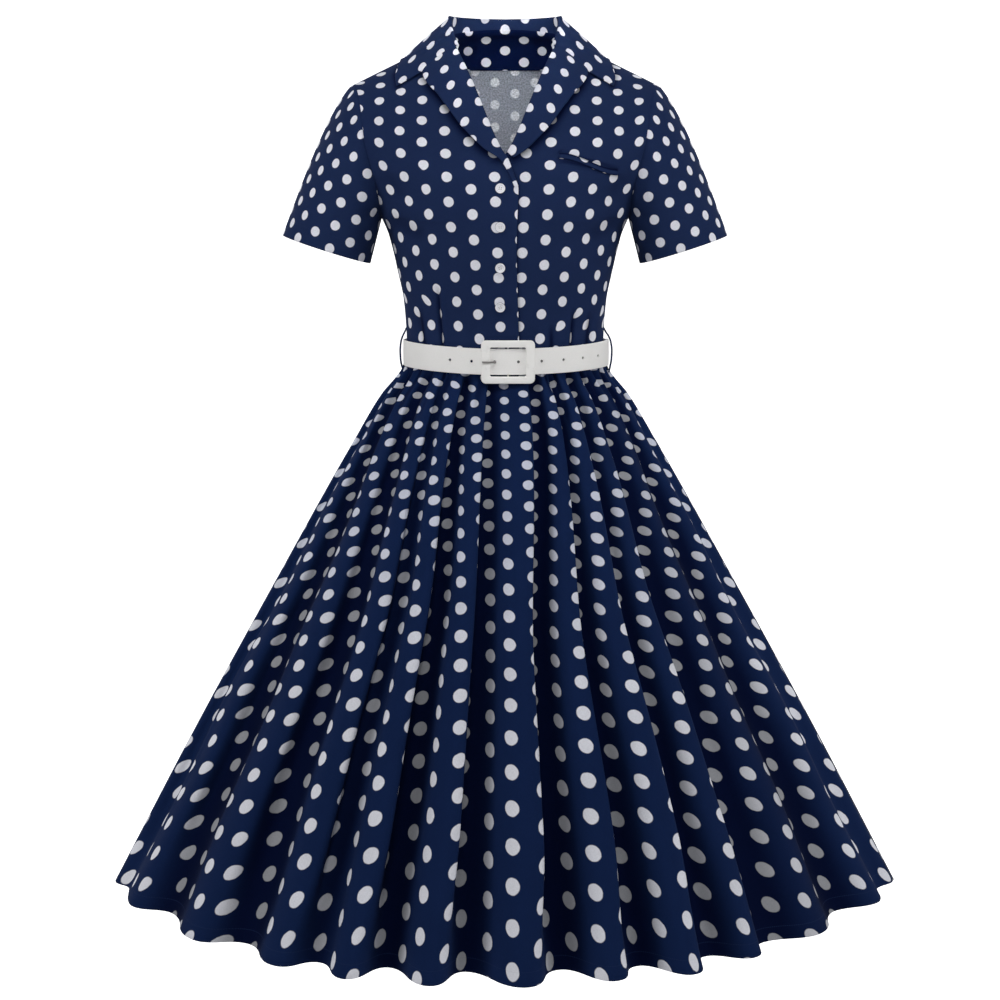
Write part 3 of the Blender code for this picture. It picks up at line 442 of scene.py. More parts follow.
def creased(creases, a, b):
    """Height of soft ridges and troughs along straight lines in a piece's own two coordinates."""
    height = np.zeros(np.broadcast(a, b).shape)
    for x, y, to_x, to_y, width, deep in creases:
        length = math.hypot(to_x - x, to_y - y)
        way_x, way_y = (to_x - x) / length, (to_y - y) / length
        along = ((a - x) * way_x + (b - y) * way_y) / length
        off = (a - x) * way_y - (b - y) * way_x
        ends = smooth(np.minimum(along, 1 - along) / 0.3)
        height = height + deep * ends * np.exp(-((off / width) ** 2))
    return height


def grid_normals(points, tube, sign):
    if tube:
        wrapped = np.concatenate([points[:, -1:], points, points[:, :1]], axis=1)
        across = wrapped[:, 2:] - wrapped[:, :-2]
    else:
        across = np.gradient(points, axis=1)
    return sign * unit(np.cross(across, np.gradient(points, axis=0)))


def linked(name, data):
    made = bpy.data.objects.new(name, data)
    bpy.context.scene.collection.objects.link(made)
    return made


def placed(name, mesh, node, replaces=True):
    """Shows a mesh in place of its CAD node, or beside it."""
    made = linked(name, mesh)
    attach(made, "root")
    if replaces:
        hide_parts(node)
    return made


def rim_of(rows, cells, tube):
    """Grid places along the edges: round a sheet, or round both ends of a tube."""
    last = rows - 1
    if tube:
        return [[(0, c) for c in range(cells + 1)], [(last, c) for c in range(cells, -1, -1)]]
    there = [(0, c) for c in range(cells)] + [(r, cells) for r in range(last)]
    back = [(last, c) for c in range(cells, 0, -1)] + [(r, 0) for r in range(last, -1, -1)]
    return [there + back]


def shell(name, node, points, prints, metres, skins, out=1, thick=CLOTH, tube=False, **marks):
    """A thin closed shell round a grid of points, with its print's and its cloth's coordinates."""
    rows, columns = points.shape[:2]
    total, way = rows * columns, -1 if out < 0 else 1
    offset = grid_normals(points, tube, out) * thick / 2
    flat_points = points.reshape(-1, 3)
    vertices = [(points + offset).reshape(-1, 3), (points - offset).reshape(-1, 3)]
    sources = [np.arange(total)] * 2
    cells = columns if tube else columns - 1
    r, c = (g.ravel() for g in np.meshgrid(np.arange(rows - 1), np.arange(cells), indexing="ij"))
    place = np.moveaxis(np.array([[r, c], [r, c + 1], [r + 1, c + 1], [r + 1, c]]), -1, 0)
    face = place[..., 0] * columns + place[..., 1] % columns
    corners, places = [face[:, ::way], face[:, ::-way] + total], [place[:, ::way], place[:, ::-way]]
    sides = [np.zeros(len(face), int), np.ones(len(face), int)]
    for edge in map(np.array, rim_of(rows, cells, tube)):
        r, c = edge[:, 0], edge[:, 1] % columns
        flat = r * columns + c
        inward = points[np.clip(r, 1, rows - 2), c if tube else np.clip(c, 1, columns - 2)]
        middle = sum(map(len, vertices)) + np.arange(len(edge))
        vertices.append(flat_points[flat] + unit(flat_points[flat] - inward) * thick * HEM_ROUND)
        sources.append(flat)
        for upper, lower in ((flat, middle), (middle, flat + total)):
            quad = np.stack([upper[1:], upper[:-1], lower[:-1], lower[1:]], axis=1)
            place = np.stack([edge[1:], edge[:-1], edge[:-1], edge[1:]], axis=1)
            corners.append(quad[:, ::way])
            places.append(place[:, ::way])
            sides.append(np.zeros(len(quad), int))
    places = np.concatenate(places)
    mesh = bpy.data.meshes.new(name)
    mesh.from_pydata(np.concatenate(vertices), [], np.concatenate(corners).tolist())
    for title, grid in (("Print", prints), ("Cloth", metres)):
        spots = grid[places[..., 0], places[..., 1]].astype(np.float32)
        mesh.uv_layers.new(name=title).data.foreach_set("uv", spots.ravel())
    for title, grid in marks.items():
        values = grid.ravel()[np.concatenate(sources)].astype(np.float32)
        mesh.attributes.new(title, "FLOAT", "POINT").data.foreach_set("value", values)
    for skin in skins:
        mesh.materials.append(skin)
    if len(skins) > 1:
        mesh.polygons.foreach_set("material_index", np.concatenate(sides).astype(np.int32))
    mesh.shade_smooth()
    mesh.update()
    return placed(name, mesh, node)


# ---------------------------------------------------------------- materials

# The cloth's navy, and a darker copy of it for the neck: painted shade inside the neck
NAVY_SHADE, NAVY_NECK_PAINTED_SHADE = (0.0125, 0.025, 0.08), (0.0016, 0.0068, 0.04)
# A darker copy of the navy for the skirt: painted shade over the whole skirt
NAVY_SKIRT_PAINTED_SHADE = (0.0066, 0.0186, 0.073)
DOT_SHADE, DOT_PAINTED_DIM = (0.82, 0.83, 0.9), (0.65, 0.68, 0.79)
DIM_FROM = (0.28, 0.6, 0, 1)  # metres above the hem over which the skirt's dots get dimmer towards the waist: painted shade
NAVY_PAINTED_SHADE, DOT_PAINTED_SHADE = (0.0008, 0.004, 0.027), (0.33, 0.338, 0.365)  # painted shade: the navy and the dots deep in a fold, in a crease or beside an edge that lies on the cloth
WRONG_SHADE, WRONG_DOT_SHADE = (0.282, 0.304, 0.364), (0.7, 0.715, 0.75)
HEM_THREAD_SHADE, BUTTON_THREAD_SHADE = (0.016, 0.03, 0.09), (0.62, 0.61, 0.6)
# The belt's colour, and painted shade: the dark colour of discs set in the belt's holes
BELT_SHADE, HOLE_PAINTED_SHADE = (0.955, 0.946, 0.93), (0.16, 0.16, 0.162)
BUCKLE_SHADE, BUTTON_SHADE = (0.975, 0.968, 0.948), (0.925, 0.928, 0.985)
METAL_SHADE = (0.3, 0.29, 0.28)
BRUSHING = (300, 3000, 3000)  # strokes per metre along the prong and across it

DOT_COLUMN, DOT_ROW = 0.029, 0.0296  # spacing of the dots on the bodice
DOT_WIDE, DOT_HIGH = 0.0065, 0.0062  # half the size of a dot there
DOT_EDGE, WRONG_DOT_EDGE = 0.07, 0.16  # softness of a dot's edge, as a share of the dot
SKIRT_LENGTH = 0.7468
SKIRT_DOT_WIDE, SKIRT_DOT_HIGH = (0.212, 0.258), (0.214, 0.236)  # at the hem and at the waist
FLANK_WIDE, FLANK_HIGH = 1.15, 0.95  # times that at the flanks, where the dots face sideways
THREAD_FINE, THREAD_LONG, SPECKLES = 2300, 260, 480  # per metre across and along a thread
STITCH, STITCH_GAP, STITCH_HALF, GROOVE = 0.0028, 0.72, 0.00035, 0.0016
CUFF_STITCH, HEM_STITCH = 0.02, 0.016  # of the stitches above the edge


class Signal:
    """What a node puts out; sums on it add further nodes."""

    def __init__(self, graph, socket):
        self.graph, self.socket = graph, socket

    def math(self, operation, *others):
        return self.graph.node("ShaderNodeMath", self, *others, operation=operation)

    def __add__(self, other):
        return self.math("ADD", other)

    def __sub__(self, other):
        return self.math("SUBTRACT", other)

    def __mul__(self, other):
        return self.math("MULTIPLY", other)

    def __truediv__(self, other):
        return self.math("DIVIDE", other)

    def __abs__(self):
        return self.math("ABSOLUTE")

    def eased(self, low, high, to_low=0, to_high=1, kind="SMOOTHSTEP"):
        """The range from low to high spread over another one, and held at its ends."""
        ranges = low, high, to_low, to_high
        return self.graph.node("ShaderNodeMapRange", self, *ranges, interpolation_type=kind)

    def linear(self, *ranges):
        return self.eased(*ranges, kind="LINEAR")


class Graph:
    """A material's nodes. Inputs are named in capitals and settings in small letters."""

    def __init__(self, name, **inputs):
        self.made = bpy.data.materials.new(name)
        self.made.use_nodes = True
        self.tree = self.made.node_tree
        self.shader = self.tree.nodes["Principled BSDF"]
        self.fill(self.shader, inputs)

    def put(self, socket, value):
        if isinstance(value, Signal):
            self.tree.links.new(value.socket, socket)
        elif value is not None:
            socket.default_value = (*value, 1) if socket.type == "RGBA" else value

    def fill(self, node, named):
        for name, value in named.items():
            self.put(node.inputs[name.replace("_", " ")], value)

    def node(self, kind, *inputs, output=0, **named):
        made = self.tree.nodes.new(kind)
        for name in [name for name in named if name.islower()]:
            setattr(made, name, named.pop(name))
        for socket, value in zip(made.inputs, inputs):
            self.put(socket, value)
        self.fill(made, named)
        return Signal(self, made.outputs[output])

    def mark(self, name):
        return self.node("ShaderNodeAttribute", attribute_name=name, output=2)

    def spot(self):
        return self.node("ShaderNodeTexCoord", output="Object")

    def coordinates(self, layer):
        split = self.node("ShaderNodeSeparateXYZ", self.node("ShaderNodeUVMap", uv_map=layer))
        return [Signal(self, socket) for socket in split.socket.node.outputs[:2]]

    def joined(self, x, y, z=0):
        return self.node("ShaderNodeCombineXYZ", x, y, z)

    def noise(self, vector, scale, detail=2):
        return self.node("ShaderNodeTexNoise", Vector=vector, Scale=scale, Detail=detail)

    def blend(self, share, first, second):
        """Between two colours."""
        skipped = [None] * 5
        return self.node(
            "ShaderNodeMix", share, *skipped, first, second, data_type="RGBA", output=2
        )

    def finished(self, height, strength, distance, colour, tone, **inputs):
        """The material, with a relief and a colour times a tone round 1."""
        shaded = self.node("ShaderNodeVectorMath", colour, operation="SCALE", Scale=tone)
        self.fill(self.shader, {"Base Color": shaded, **inputs})
        bump = self.node("ShaderNodeBump", Strength=strength, Distance=distance, Height=height)
        self.fill(self.shader, {"Normal": bump})
        return self.made


def weave(graph, x, y):
    """Shade and relief of fine threads that cross."""
    along = graph.joined(x * THREAD_LONG, y * THREAD_FINE)
    across = graph.joined(x * THREAD_FINE, y * THREAD_LONG, 7)
    return graph.noise(along, 1, 1) + graph.noise(across, 1, 1)


def dotted(graph, u, v, x, y, wide, high, soft, turn=None):
    """1 inside the dots of a half-drop repeat of one column by one row."""
    wobble = graph.joined(x, y)
    u = u + graph.noise(wobble, 130).linear(0.2, 0.8, -0.01, 0.01)
    v = v + graph.noise(wobble, 110).linear(0.2, 0.8, -0.01, 0.01)
    column = u.math("ROUND")
    off = u - column
    row = v + column.math("FLOORED_MODULO", 2) * 0.5
    up = row - row.math("ROUND")
    if turn is not None:
        level, steep = turn.math("COSINE"), turn.math("SINE")
        off, up = off * level - up * steep, off * steep + up * level
    off, up = off / wide, up / high
    reach = (abs(off).math("POWER", 2) + abs(up).math("POWER", 2)).math("SQRT")
    return reach.eased(1 + soft, 1 - soft)


def cloth_material(name, wide, high, stitch=None, skirt=False, wrong=False, navy=NAVY_SHADE):
    """Cotton with the dots; stitch is how far a line of stitches lies above the edge."""
    graph = Graph(
        name, Roughness=0.9, Specular_IOR_Level=0.05, Sheen_Weight=0.01, Sheen_Roughness=0.45,
        Sheen_Tint=(0.55, 0.62, 0.9),
    )
    u, v = graph.coordinates("Print")
    x, y = graph.coordinates("Cloth")
    threads = weave(graph, x, y)
    turn = None
    if skirt:
        wide = y.linear(0, SKIRT_LENGTH, *SKIRT_DOT_WIDE)
        high = y.linear(0, SKIRT_LENGTH, *SKIRT_DOT_HIGH)
        flank = graph.mark("flank")
        wide = wide * flank.linear(0, 1, 1, FLANK_WIDE)
        high = high * flank.linear(0, 1, 1, FLANK_HIGH)
        turn = graph.mark("grain")
    mask = dotted(graph, u, v, x, y, wide, high, WRONG_DOT_EDGE if wrong else DOT_EDGE, turn)
    cloud = graph.noise(graph.joined(x, y), 16, 3)
    tone = threads.linear(0.5, 1.5, 0.86, 1.14) + cloud.linear(0.25, 0.75, -0.05, 0.05)
    if wrong:
        ground, dot = WRONG_SHADE, WRONG_DOT_SHADE
        speckle = graph.noise(graph.joined(x * SPECKLES, y * SPECKLES), 1)
        tone = tone * speckle.linear(0.3, 0.7, 0.62, 1.38)
    else:
        # Painted shade: where the piece's mark says, the navy and the dots darken, in folds,
        # creases and beside edges.
        shade = graph.mark("tuck")
        lit = graph.blend(y.eased(*DIM_FROM), DOT_SHADE, DOT_PAINTED_DIM) if skirt else DOT_SHADE
        ground, dot = graph.blend(shade, navy, NAVY_PAINTED_SHADE), graph.blend(shade, lit, DOT_PAINTED_SHADE)
    colour = graph.blend(mask, ground, dot)
    relief = threads + mask * 0.3
    if stitch:
        away = abs(y - stitch)
        dash = (x / STITCH).math("FRACT").math("LESS_THAN", STITCH_GAP)
        thread = away.eased(STITCH_HALF * 2, STITCH_HALF) * dash
        colour = graph.blend(thread * mask.linear(0, 1, 0.45, 0.06), colour, HEM_THREAD_SHADE)
        relief = relief + thread * 2.5 - away.eased(GROOVE, 0, 0, 0.9)
    return graph.finished(relief, 0.35, 0.00022, colour, tone)


def leather_material(name, shade):
    """Smooth coated leather with a fine grain and slightly greyer worn patches."""
    graph = Graph(
        name, Roughness=0.42, Specular_IOR_Level=0.45, Coat_Weight=0.08, Coat_Roughness=0.35
    )
    spot = graph.spot()
    grain = graph.node("ShaderNodeTexVoronoi", feature="SMOOTH_F1", Vector=spot, Scale=1100)
    pores = graph.noise(spot, 700, 3)
    cloud = graph.noise(spot, 26)
    tone = cloud.linear(0.3, 0.7, 0.965, 1) + grain.linear(0, 0.7, 0.015, -0.035)
    rough = pores.linear(0.3, 0.7, 0.36, 0.5)
    return graph.finished(grain + pores, 0.22, 0.00012, shade, tone, Roughness=rough)


def plastic_material(name, shade, gloss):
    """Moulded plastic: even colour, faint flow marks, a soft gloss, and painted shade in grooves
    and at rims.
    """
    graph = Graph(
        name, Roughness=gloss, Specular_IOR_Level=0.5, Coat_Weight=0.25, Coat_Roughness=0.16
    )
    spot = graph.spot()
    flow = graph.noise(spot, 120, 3)
    tone = flow.linear(0.3, 0.7, 0.975, 1) * graph.mark("painted_rim_shade").eased(0, 1, 1, 0.3)
    rough = flow.linear(0.3, 0.7, gloss * 0.85, gloss * 1.15)
    return graph.finished(graph.noise(spot, 420), 0.06, 0.0001, shade, tone, Roughness=rough)


def metal_material(name):
    """Plated steel with fine lengthwise brushing."""
    graph = Graph(name, Roughness=0.32, Metallic=1)
    along = graph.node("ShaderNodeVectorMath", graph.spot(), BRUSHING, operation="MULTIPLY")
    brushed = graph.noise(along, 1)
    tone = brushed.linear(0.3, 0.7, 0.85, 1.1)
    return graph.finished(brushed, 0.1, 0.00005, METAL_SHADE, tone)


def thread_material(name, shade):
    graph = Graph(name, Roughness=0.75, Sheen_Weight=0.15)
    twist = graph.noise(graph.spot(), 2600, 1)
    return graph.finished(twist, 0.3, 0.0001, shade, twist.linear(0.3, 0.7, 0.8, 1.15))


# ---------------------------------------------------------------- bodice

BODY_ROWS, ARM_ROWS = 64, 84  # below and beside the armhole
LAP_COLUMNS, FRONT_COLUMNS, BACK_HALF, FACING_HALF, FACING_ROWS = 8, 104, 60, 40, 26
MOST_SLOPE = 1.03  # of a column against the middle one of its row
EASE_REACH, EASE_BLUR = 0.05, 0.0085
FACING_DEEP, FACING_RISE = 0.044, 0.005

# The column of dots nearest the middle of each front: x on the chest and at the waist
RIGHT_COLUMN, LEFT_COLUMN = (-0.0129, -0.0058), (0.0242, 0.0172)
COLUMN_HEIGHTS, COLUMN_SPACING = (-0.1675, -0.35), (0.0292, 0.0268)
DOT_LEVEL = -0.1675  # height of a dot in those columns
ROW_SPACING, SPACING_HEIGHTS = (0.0309, 0.0289), (-0.22, -0.15)  # below the bust and above it
BACK_CELL, BACK_COLUMN, BACK_ROW = (0.0258, 0.0286), -0.0129, 0.64
FACING_CELL, FACING_ROW, FACING_DOT = (0.0245, 0.0305), 0.167, (0.262, 0.197)

# Reach and strength of the shade beside each edge that lies on a front
LAPEL_DARK, COLLAR_DARK, LAP_DARK = (0.0078, 1), (0.005, 0.9), (0.0026, 0.95)
WELT_TOP_DARK, WELT_LOW_DARK, TUCK_DARK = (0.0022, 0.95), (0.0026, 0.9), (0.003, 0.95)
CREASE_DARK = (0.0045, 0.65)  # the depth of the deepest crease, and the darkness of the painted shade in it
WELT_OVER, WELT_UNDER = 0.0006, 0.0004  # from the welt's edges to the middle of their shade
COLLAR_SEEN = 0.02  # the collar's edge lies on the fronts where its y is less

# x, z, to x, to z, width and height of soft creases on the front; troughs are negative
FRONT_CREASES = (
    (-0.076, -0.385, -0.0838, -0.296, 0.0022, -0.0036),
    (-0.07, -0.385, -0.0785, -0.3, 0.0046, 0.003), (0.08, -0.385, 0.084, -0.328, 0.0022, -0.0034),
    (0.074, -0.385, 0.079, -0.33, 0.0044, 0.0026), (-0.042, -0.38, -0.04, -0.344, 0.0034, -0.0009),
    (-0.03, -0.38, -0.033, -0.35, 0.004, 0.0007), (0.033, -0.38, 0.036, -0.346, 0.0036, -0.0009),
    (0.048, -0.38, 0.047, -0.34, 0.0042, 0.0008), (0.062, -0.38, 0.061, -0.35, 0.003, -0.0009),
    (-0.101, -0.38, -0.11, -0.328, 0.0036, -0.0017),
    (-0.093, -0.38, -0.102, -0.325, 0.0046, 0.0011), (0.104, -0.38, 0.109, -0.33, 0.0036, -0.0016),
    (0.112, -0.38, 0.116, -0.332, 0.004, 0.001), (-0.15, -0.21, -0.09, -0.248, 0.013, -0.0022),
    (-0.145, -0.235, -0.095, -0.27, 0.011, 0.001), (0.15, -0.21, 0.095, -0.246, 0.013, -0.0022),
    (0.145, -0.238, 0.1, -0.272, 0.01, 0.0011), (-0.152, -0.16, -0.118, -0.198, 0.008, -0.0015),
    (0.152, -0.162, 0.12, -0.2, 0.008, -0.0015), (-0.008, -0.202, -0.05, -0.206, 0.0045, -0.0008),
    (-0.008, -0.25, -0.056, -0.244, 0.005, -0.0007), (0.02, -0.23, 0.056, -0.226, 0.005, -0.0006),
    (-0.01, -0.298, -0.05, -0.302, 0.005, -0.0007), (0.018, -0.305, 0.06, -0.3, 0.0055, -0.0007),
    (-0.072, -0.145, -0.072, -0.235, 0.034, 0.004), (0.074, -0.145, 0.074, -0.235, 0.034, 0.004),
    (-0.17, -0.085, -0.135, -0.115, 0.009, -0.001), (0.17, -0.088, 0.138, -0.12, 0.009, -0.001),
)
BACK_CREASES = (
    (-0.09, -0.39, -0.082, -0.32, 0.004, -0.0018), (-0.082, -0.39, -0.074, -0.315, 0.006, 0.0014),
    (0.086, -0.39, 0.08, -0.324, 0.004, -0.0018), (0.078, -0.39, 0.071, -0.318, 0.006, 0.0014),
    (-0.05, -0.39, -0.052, -0.348, 0.0045, -0.0012), (-0.025, -0.39, -0.024, -0.34, 0.005, 0.0011),
    (0.005, -0.39, 0.002, -0.352, 0.0045, -0.0011), (0.033, -0.39, 0.035, -0.344, 0.005, 0.0012),
    (0.054, -0.39, 0.056, -0.35, 0.004, -0.0012), (-0.11, -0.39, -0.115, -0.345, 0.0045, -0.0013),
    (0.11, -0.39, 0.116, -0.342, 0.0045, -0.0013), (-0.15, -0.215, -0.06, -0.27, 0.016, -0.0022),
    (0.15, -0.212, 0.065, -0.265, 0.016, -0.0022), (-0.14, -0.26, -0.05, -0.305, 0.014, 0.0014),
    (0.14, -0.258, 0.048, -0.3, 0.014, 0.0015), (-0.16, -0.15, -0.1, -0.18, 0.011, -0.0015),
    (0.16, -0.152, 0.102, -0.185, 0.011, -0.0015), (-0.04, -0.04, 0.04, -0.042, 0.012, -0.0009),
    (-0.08, -0.33, 0.07, -0.338, 0.01, 0.0012),
)
# Lines where spare cloth is pinched above the waist: x, z, to x, to z, width and hidden metres
TUCKS = (
    (-0.0829, -0.303, -0.0762, -0.385, 0.002, 0.0105),
    (-0.104, -0.33, -0.0985, -0.385, 0.0018, 0.006), (0.0838, -0.33, 0.08, -0.385, 0.002, 0.01),
    (0.056, -0.348, 0.057, -0.385, 0.0018, 0.005), (0.104, -0.335, 0.1, -0.385, 0.0018, 0.006),
)


def metres_of(points):
    """Distance along the rows from where x is 0, and up the cloth from the first row.

    Columns that slide along an armhole get no more depth for their height than most columns do.
    """
    x = points[..., 0]
    sign = np.sign(x[:, -1:] - x[:, :1])
    around = (lengths_along(points, 1) + x[:, :1] * sign) * sign
    up = np.diff(points, axis=0)
    rise, height = np.hypot(up[..., 1], up[..., 2]), np.abs(up[..., 2])
    usual = np.median(rise / height, axis=1, keepdims=True)
    return around, running(np.minimum(rise, MOST_SLOPE * usual * height))


def tucked(x, z):
    """Metres of cloth hidden between the middle and each place."""
    hidden = 0
    for start_x, start_z, end_x, end_z, width, spare in TUCKS:
        share = (z - start_z) / (end_z - start_z)
        line = start_x + (end_x - start_x) * share
        past = smooth(((x - line) * math.copysign(1, start_x)) / (2 * width) + 0.5)
        hidden = hidden + math.copysign(spare, start_x) * past * smooth(share / 0.35)
    return hidden


def rows_of_dots(z, up):
    """The print's rows, counted up the cloth from the level where a dot lies."""
    spacing = np.interp(z, SPACING_HEIGHTS, ROW_SPACING)
    count = running(np.diff(up, axis=0) / ((spacing[1:] + spacing[:-1]) / 2))
    return count - np.interp(DOT_LEVEL, z[:, 0], count[:, 0])


def bodice_print(points, around, up, column):
    x, _, z = np.moveaxis(points, -1, 0)
    share = np.clip((COLUMN_HEIGHTS[0] - z) / (COLUMN_HEIGHTS[0] - COLUMN_HEIGHTS[1]), -0.25, 1.2)
    first, spacing = (a + (b - a) * share for a, b in (column, COLUMN_SPACING))
    return stacked((around + tucked(x, z) - first) / spacing, rows_of_dots(z, up))


def eased(points, x):
    """The bodice without the crease that the foot of the armhole would press into its form."""
    points, z, middle = points.copy(), points[..., 2], points[:, 0, 2]
    near = smooth((EASE_REACH - np.abs(z - UNDERARM)) / (0.5 * EASE_REACH))
    inside = smooth((1 - np.abs(points[..., 0] / x[:, -1:])) / 0.07)
    weight = np.exp(-0.5 * ((middle[:, None] - middle) / EASE_BLUR) ** 2) * np.gradient(middle)
    blurred = weight @ points[..., 1] / weight.sum(axis=1, keepdims=True)
    points[..., 1] += near * inside * (blurred - points[..., 1])
    return points


def bodice_rows(side, row):
    """Rows of x and z from waist to shoulder. row gives a row's x from its ends' heights."""
    lines = []
    for z in np.linspace(WAIST, UNDERARM, BODY_ROWS, endpoint=False):
        x = row(z, z)
        lines.append((x, np.full(len(x), z)))
    for share in (1 - np.cos(np.linspace(0, math.pi, ARM_ROWS + 1))) / 2:
        z_inner, z_outer = (UNDERARM + (top - UNDERARM) * share for top in (NECK_Z, TIP_Z))
        x = row(z_inner, z_outer)
        fall = (top_z(x, side) - NECK_Z) / (top_z(np.abs(x).max(), side) - NECK_Z)
        lines.append((x, z_inner + (z_outer - z_inner) * fall))
    return (np.array(both) for both in zip(*lines))


def near_line(x, z, line_x, line_z, reach):
    """1 on a line and falling off beside it."""
    best = 1
    for a, b, c, d in zip(line_x[:-1], line_z[:-1], line_x[1:], line_z[1:]):
        share = ((x - a) * (c - a) + (z - b) * (d - b)) / ((c - a) ** 2 + (d - b) ** 2)
        share = np.clip(share, 0, 1)
        best = np.minimum(best, np.hypot(x - a - share * (c - a), z - b - share * (d - b)))
    return np.exp(-((best / reach) ** 2))


def front_shade(x, z, side_sign, creases):
    """Where a front lies in the shade of lapel, collar, welt, upper front and tucks."""
    seen = COLLAR["edge_y"] < COLLAR_SEEN
    parts = [
        (side_sign * LAPEL["edge_x"], LAPEL["edge_z"], *LAPEL_DARK),
        (side_sign * COLLAR["edge_x"][seen], COLLAR["edge_z"][seen], *COLLAR_DARK),
    ]
    if side_sign > 0:
        welt_x, welt_z = np.array([WELT_START, WELT_END]).T
        heights = np.linspace(LAP_EDGE["height"][0], LAP_EDGE["height"][-1], 12)
        parts += [
            (welt_x, welt_z + WELT_OVER, *WELT_TOP_DARK),
            (welt_x, welt_z - WELT_HEIGHT - WELT_UNDER, *WELT_LOW_DARK),
            ([upper_edge(height) for height in heights], heights, *LAP_DARK),
        ]
    for start_x, start_z, end_x, end_z, *_ in TUCKS:
        strength = TUCK_DARK[1] * smooth((start_z - z + 0.01) / 0.03)
        parts.append(((start_x, end_x), (start_z, end_z), TUCK_DARK[0], strength))
    # Painted shade in the troughs of creases, and painted shadows beside the edges and tucks.
    shade = smooth(-creases / CREASE_DARK[0]) * CREASE_DARK[1]
    for line_x, line_z, reach, strength in parts:
        shade = np.maximum(shade, strength * near_line(x, z, line_x, line_z, reach))
    return shade


def make_front(name, node, side_sign, inner, lift, column, skins):
    lap = np.linspace(0, 1, LAP_COLUMNS, endpoint=False)
    rest = np.sin(np.linspace(0, math.pi / 2, FRONT_COLUMNS))

    def row(z_inner, z_outer):
        start, end = inner(z_inner), side_sign * side_edge(z_outer)
        turn = start + side_sign * max(upper_edge(z_inner) - lower_edge(z_inner), LEAST_LAP)
        return np.concatenate([start + (turn - start) * lap, turn + (end - turn) * rest])

    x, z = bodice_rows(-1, row)
    creases = creased(FRONT_CREASES, x, z)
    points = eased(on_bodice(x, z, -1, lift(x) + creases), x)
    around, up = metres_of(points)
    prints, shade = bodice_print(points, around, up, column), front_shade(x, z, side_sign, creases)
    shell(name, node, points, prints, stacked(around, up), skins, out=side_sign, tuck=shade)


def make_back(skins):
    half = np.sin(np.linspace(0, math.pi / 2, BACK_HALF))
    x, z = bodice_rows(1, lambda _, z_outer: side_edge(z_outer) * both_halves(half))
    points = eased(on_bodice(x, z, 1, creased(BACK_CREASES, x, z)), x)
    around, up = metres_of(points)
    around = around - around[:, BACK_HALF - 1, None]
    prints = stacked((around - BACK_COLUMN) / BACK_CELL[0], up / BACK_CELL[1] + BACK_ROW)
    shell("cloth_back", "back", points, prints, stacked(around, up), skins, out=-1)


def make_facing(skins):
    """Dotted facing that lies inside the back neck."""
    share = np.linspace(0, 1, FACING_ROWS)[:, None]
    x = (NECK_X - 0.0005) * both_halves(np.linspace(0, 1, FACING_HALF)) * (1 - 0.02 * share)
    top = top_z(x, 1) + FACING_RISE * smooth((1 - np.abs(x) / NECK_X) / 0.12)
    z = top - share * (FACING_DEEP + top - BACK_NECK_Z)
    points = on_bodice(x, z, 1, -FACING_LAYER)[::-1]
    around, up = metres_of(points)
    around = around - around[:, FACING_HALF - 1, None]
    prints = stacked(around / FACING_CELL[0], up / FACING_CELL[1] + FACING_ROW)
    shell("cloth_facing", "neck_facing", points, prints, stacked(around, up), skins)


# ---------------------------------------------------------------- sleeves

SLEEVE_AROUND, SLEEVE_ALONG = 144, 64
SLEEVE_RADIUS, SLEEVE_LENGTH = 0.062, 0.21
SLEEVE_DOTS, SLEEVE_LEAN = 16, 0.19  # columns round, and how far they lean to the body
SLEEVE_ROW, SLEEVE_START = 0.0292, (-0.52, 0.15)
CUFF_DOTS = 14  # as many columns round would have the bodice's width of dots
HEAD_DEPTH, HEAD_INWARD = 0.0022, 0.003  # how a sleeve's head goes on into the armhole's seam
# Turn and share along, to turn and share, width and height; turns are 0 at the top, 90 at the front
SLEEVE_CREASES = (
    (155, 0.02, 112, 0.55, 0.009, -0.0022), (140, 0.02, 88, 0.36, 0.008, 0.0014),
    (168, 0.1, 140, 0.8, 0.008, 0.0013), (70, 0, 78, 0.3, 0.006, -0.0012),
    (35, 0, 48, 0.22, 0.006, -0.0008), (12, 0, 18, 0.16, 0.0045, -0.0007),
    (52, 0.35, 60, 0.98, 0.011, 0.001), (100, 0.45, 96, 1.05, 0.011, -0.0012),
    (-155, 0.02, -110, 0.6, 0.009, -0.0024), (-138, 0.02, -85, 0.42, 0.008, 0.0015),
    (-60, 0, -70, 0.34, 0.007, -0.0012), (-30, 0, -36, 0.2, 0.0055, -0.0008),
    (-95, 0.5, -100, 1.05, 0.012, 0.0012), (178, 0.1, 176, 1, 0.009, -0.0012),
)


def make_sleeve(name, node, side_sign, skins):
    around = np.linspace(0, 2 * math.pi, SLEEVE_AROUND, endpoint=False) + math.pi
    along = np.linspace(0, 1, SLEEVE_ALONG)[:, None]
    points = sleeve_points(side_sign, around, along)
    degree = SLEEVE_RADIUS * math.pi / 180
    creases = np.array(SLEEVE_CREASES) * (degree, SLEEVE_LENGTH, degree, SLEEVE_LENGTH, 1, 1)
    degrees = (np.degrees(around) + 180) % 360 - 180
    lift = creased(creases, degrees * degree, along * SLEEVE_LENGTH)
    lift = lift * smooth((1 - along) / 0.08 + 0.35)
    out = grid_normals(points, True, side_sign)
    points = points + out * lift[..., None]
    head = points[0] - out[0] * HEAD_DEPTH - (side_sign * HEAD_INWARD, 0, 0)
    points = np.concatenate([head[None], points])
    wrapped = np.concatenate([points, points[:, :1]], axis=1)
    down = lengths_along(wrapped, 0)
    ring = lengths_along(wrapped, 1)[SLEEVE_ALONG // 2]
    rise = down - down[-1:]
    lean = SLEEVE_LEAN * rise * np.sin(np.append(around, around[0]))
    turn = (ring - lean) / ring[-1]
    prints = stacked(turn * SLEEVE_DOTS + SLEEVE_START[0], rise / SLEEVE_ROW + SLEEVE_START[1])
    shell(name, node, points, prints, stacked(ring, -rise), skins, out=side_sign, tube=True)


# ---------------------------------------------------------------- collar, lapels, pocket

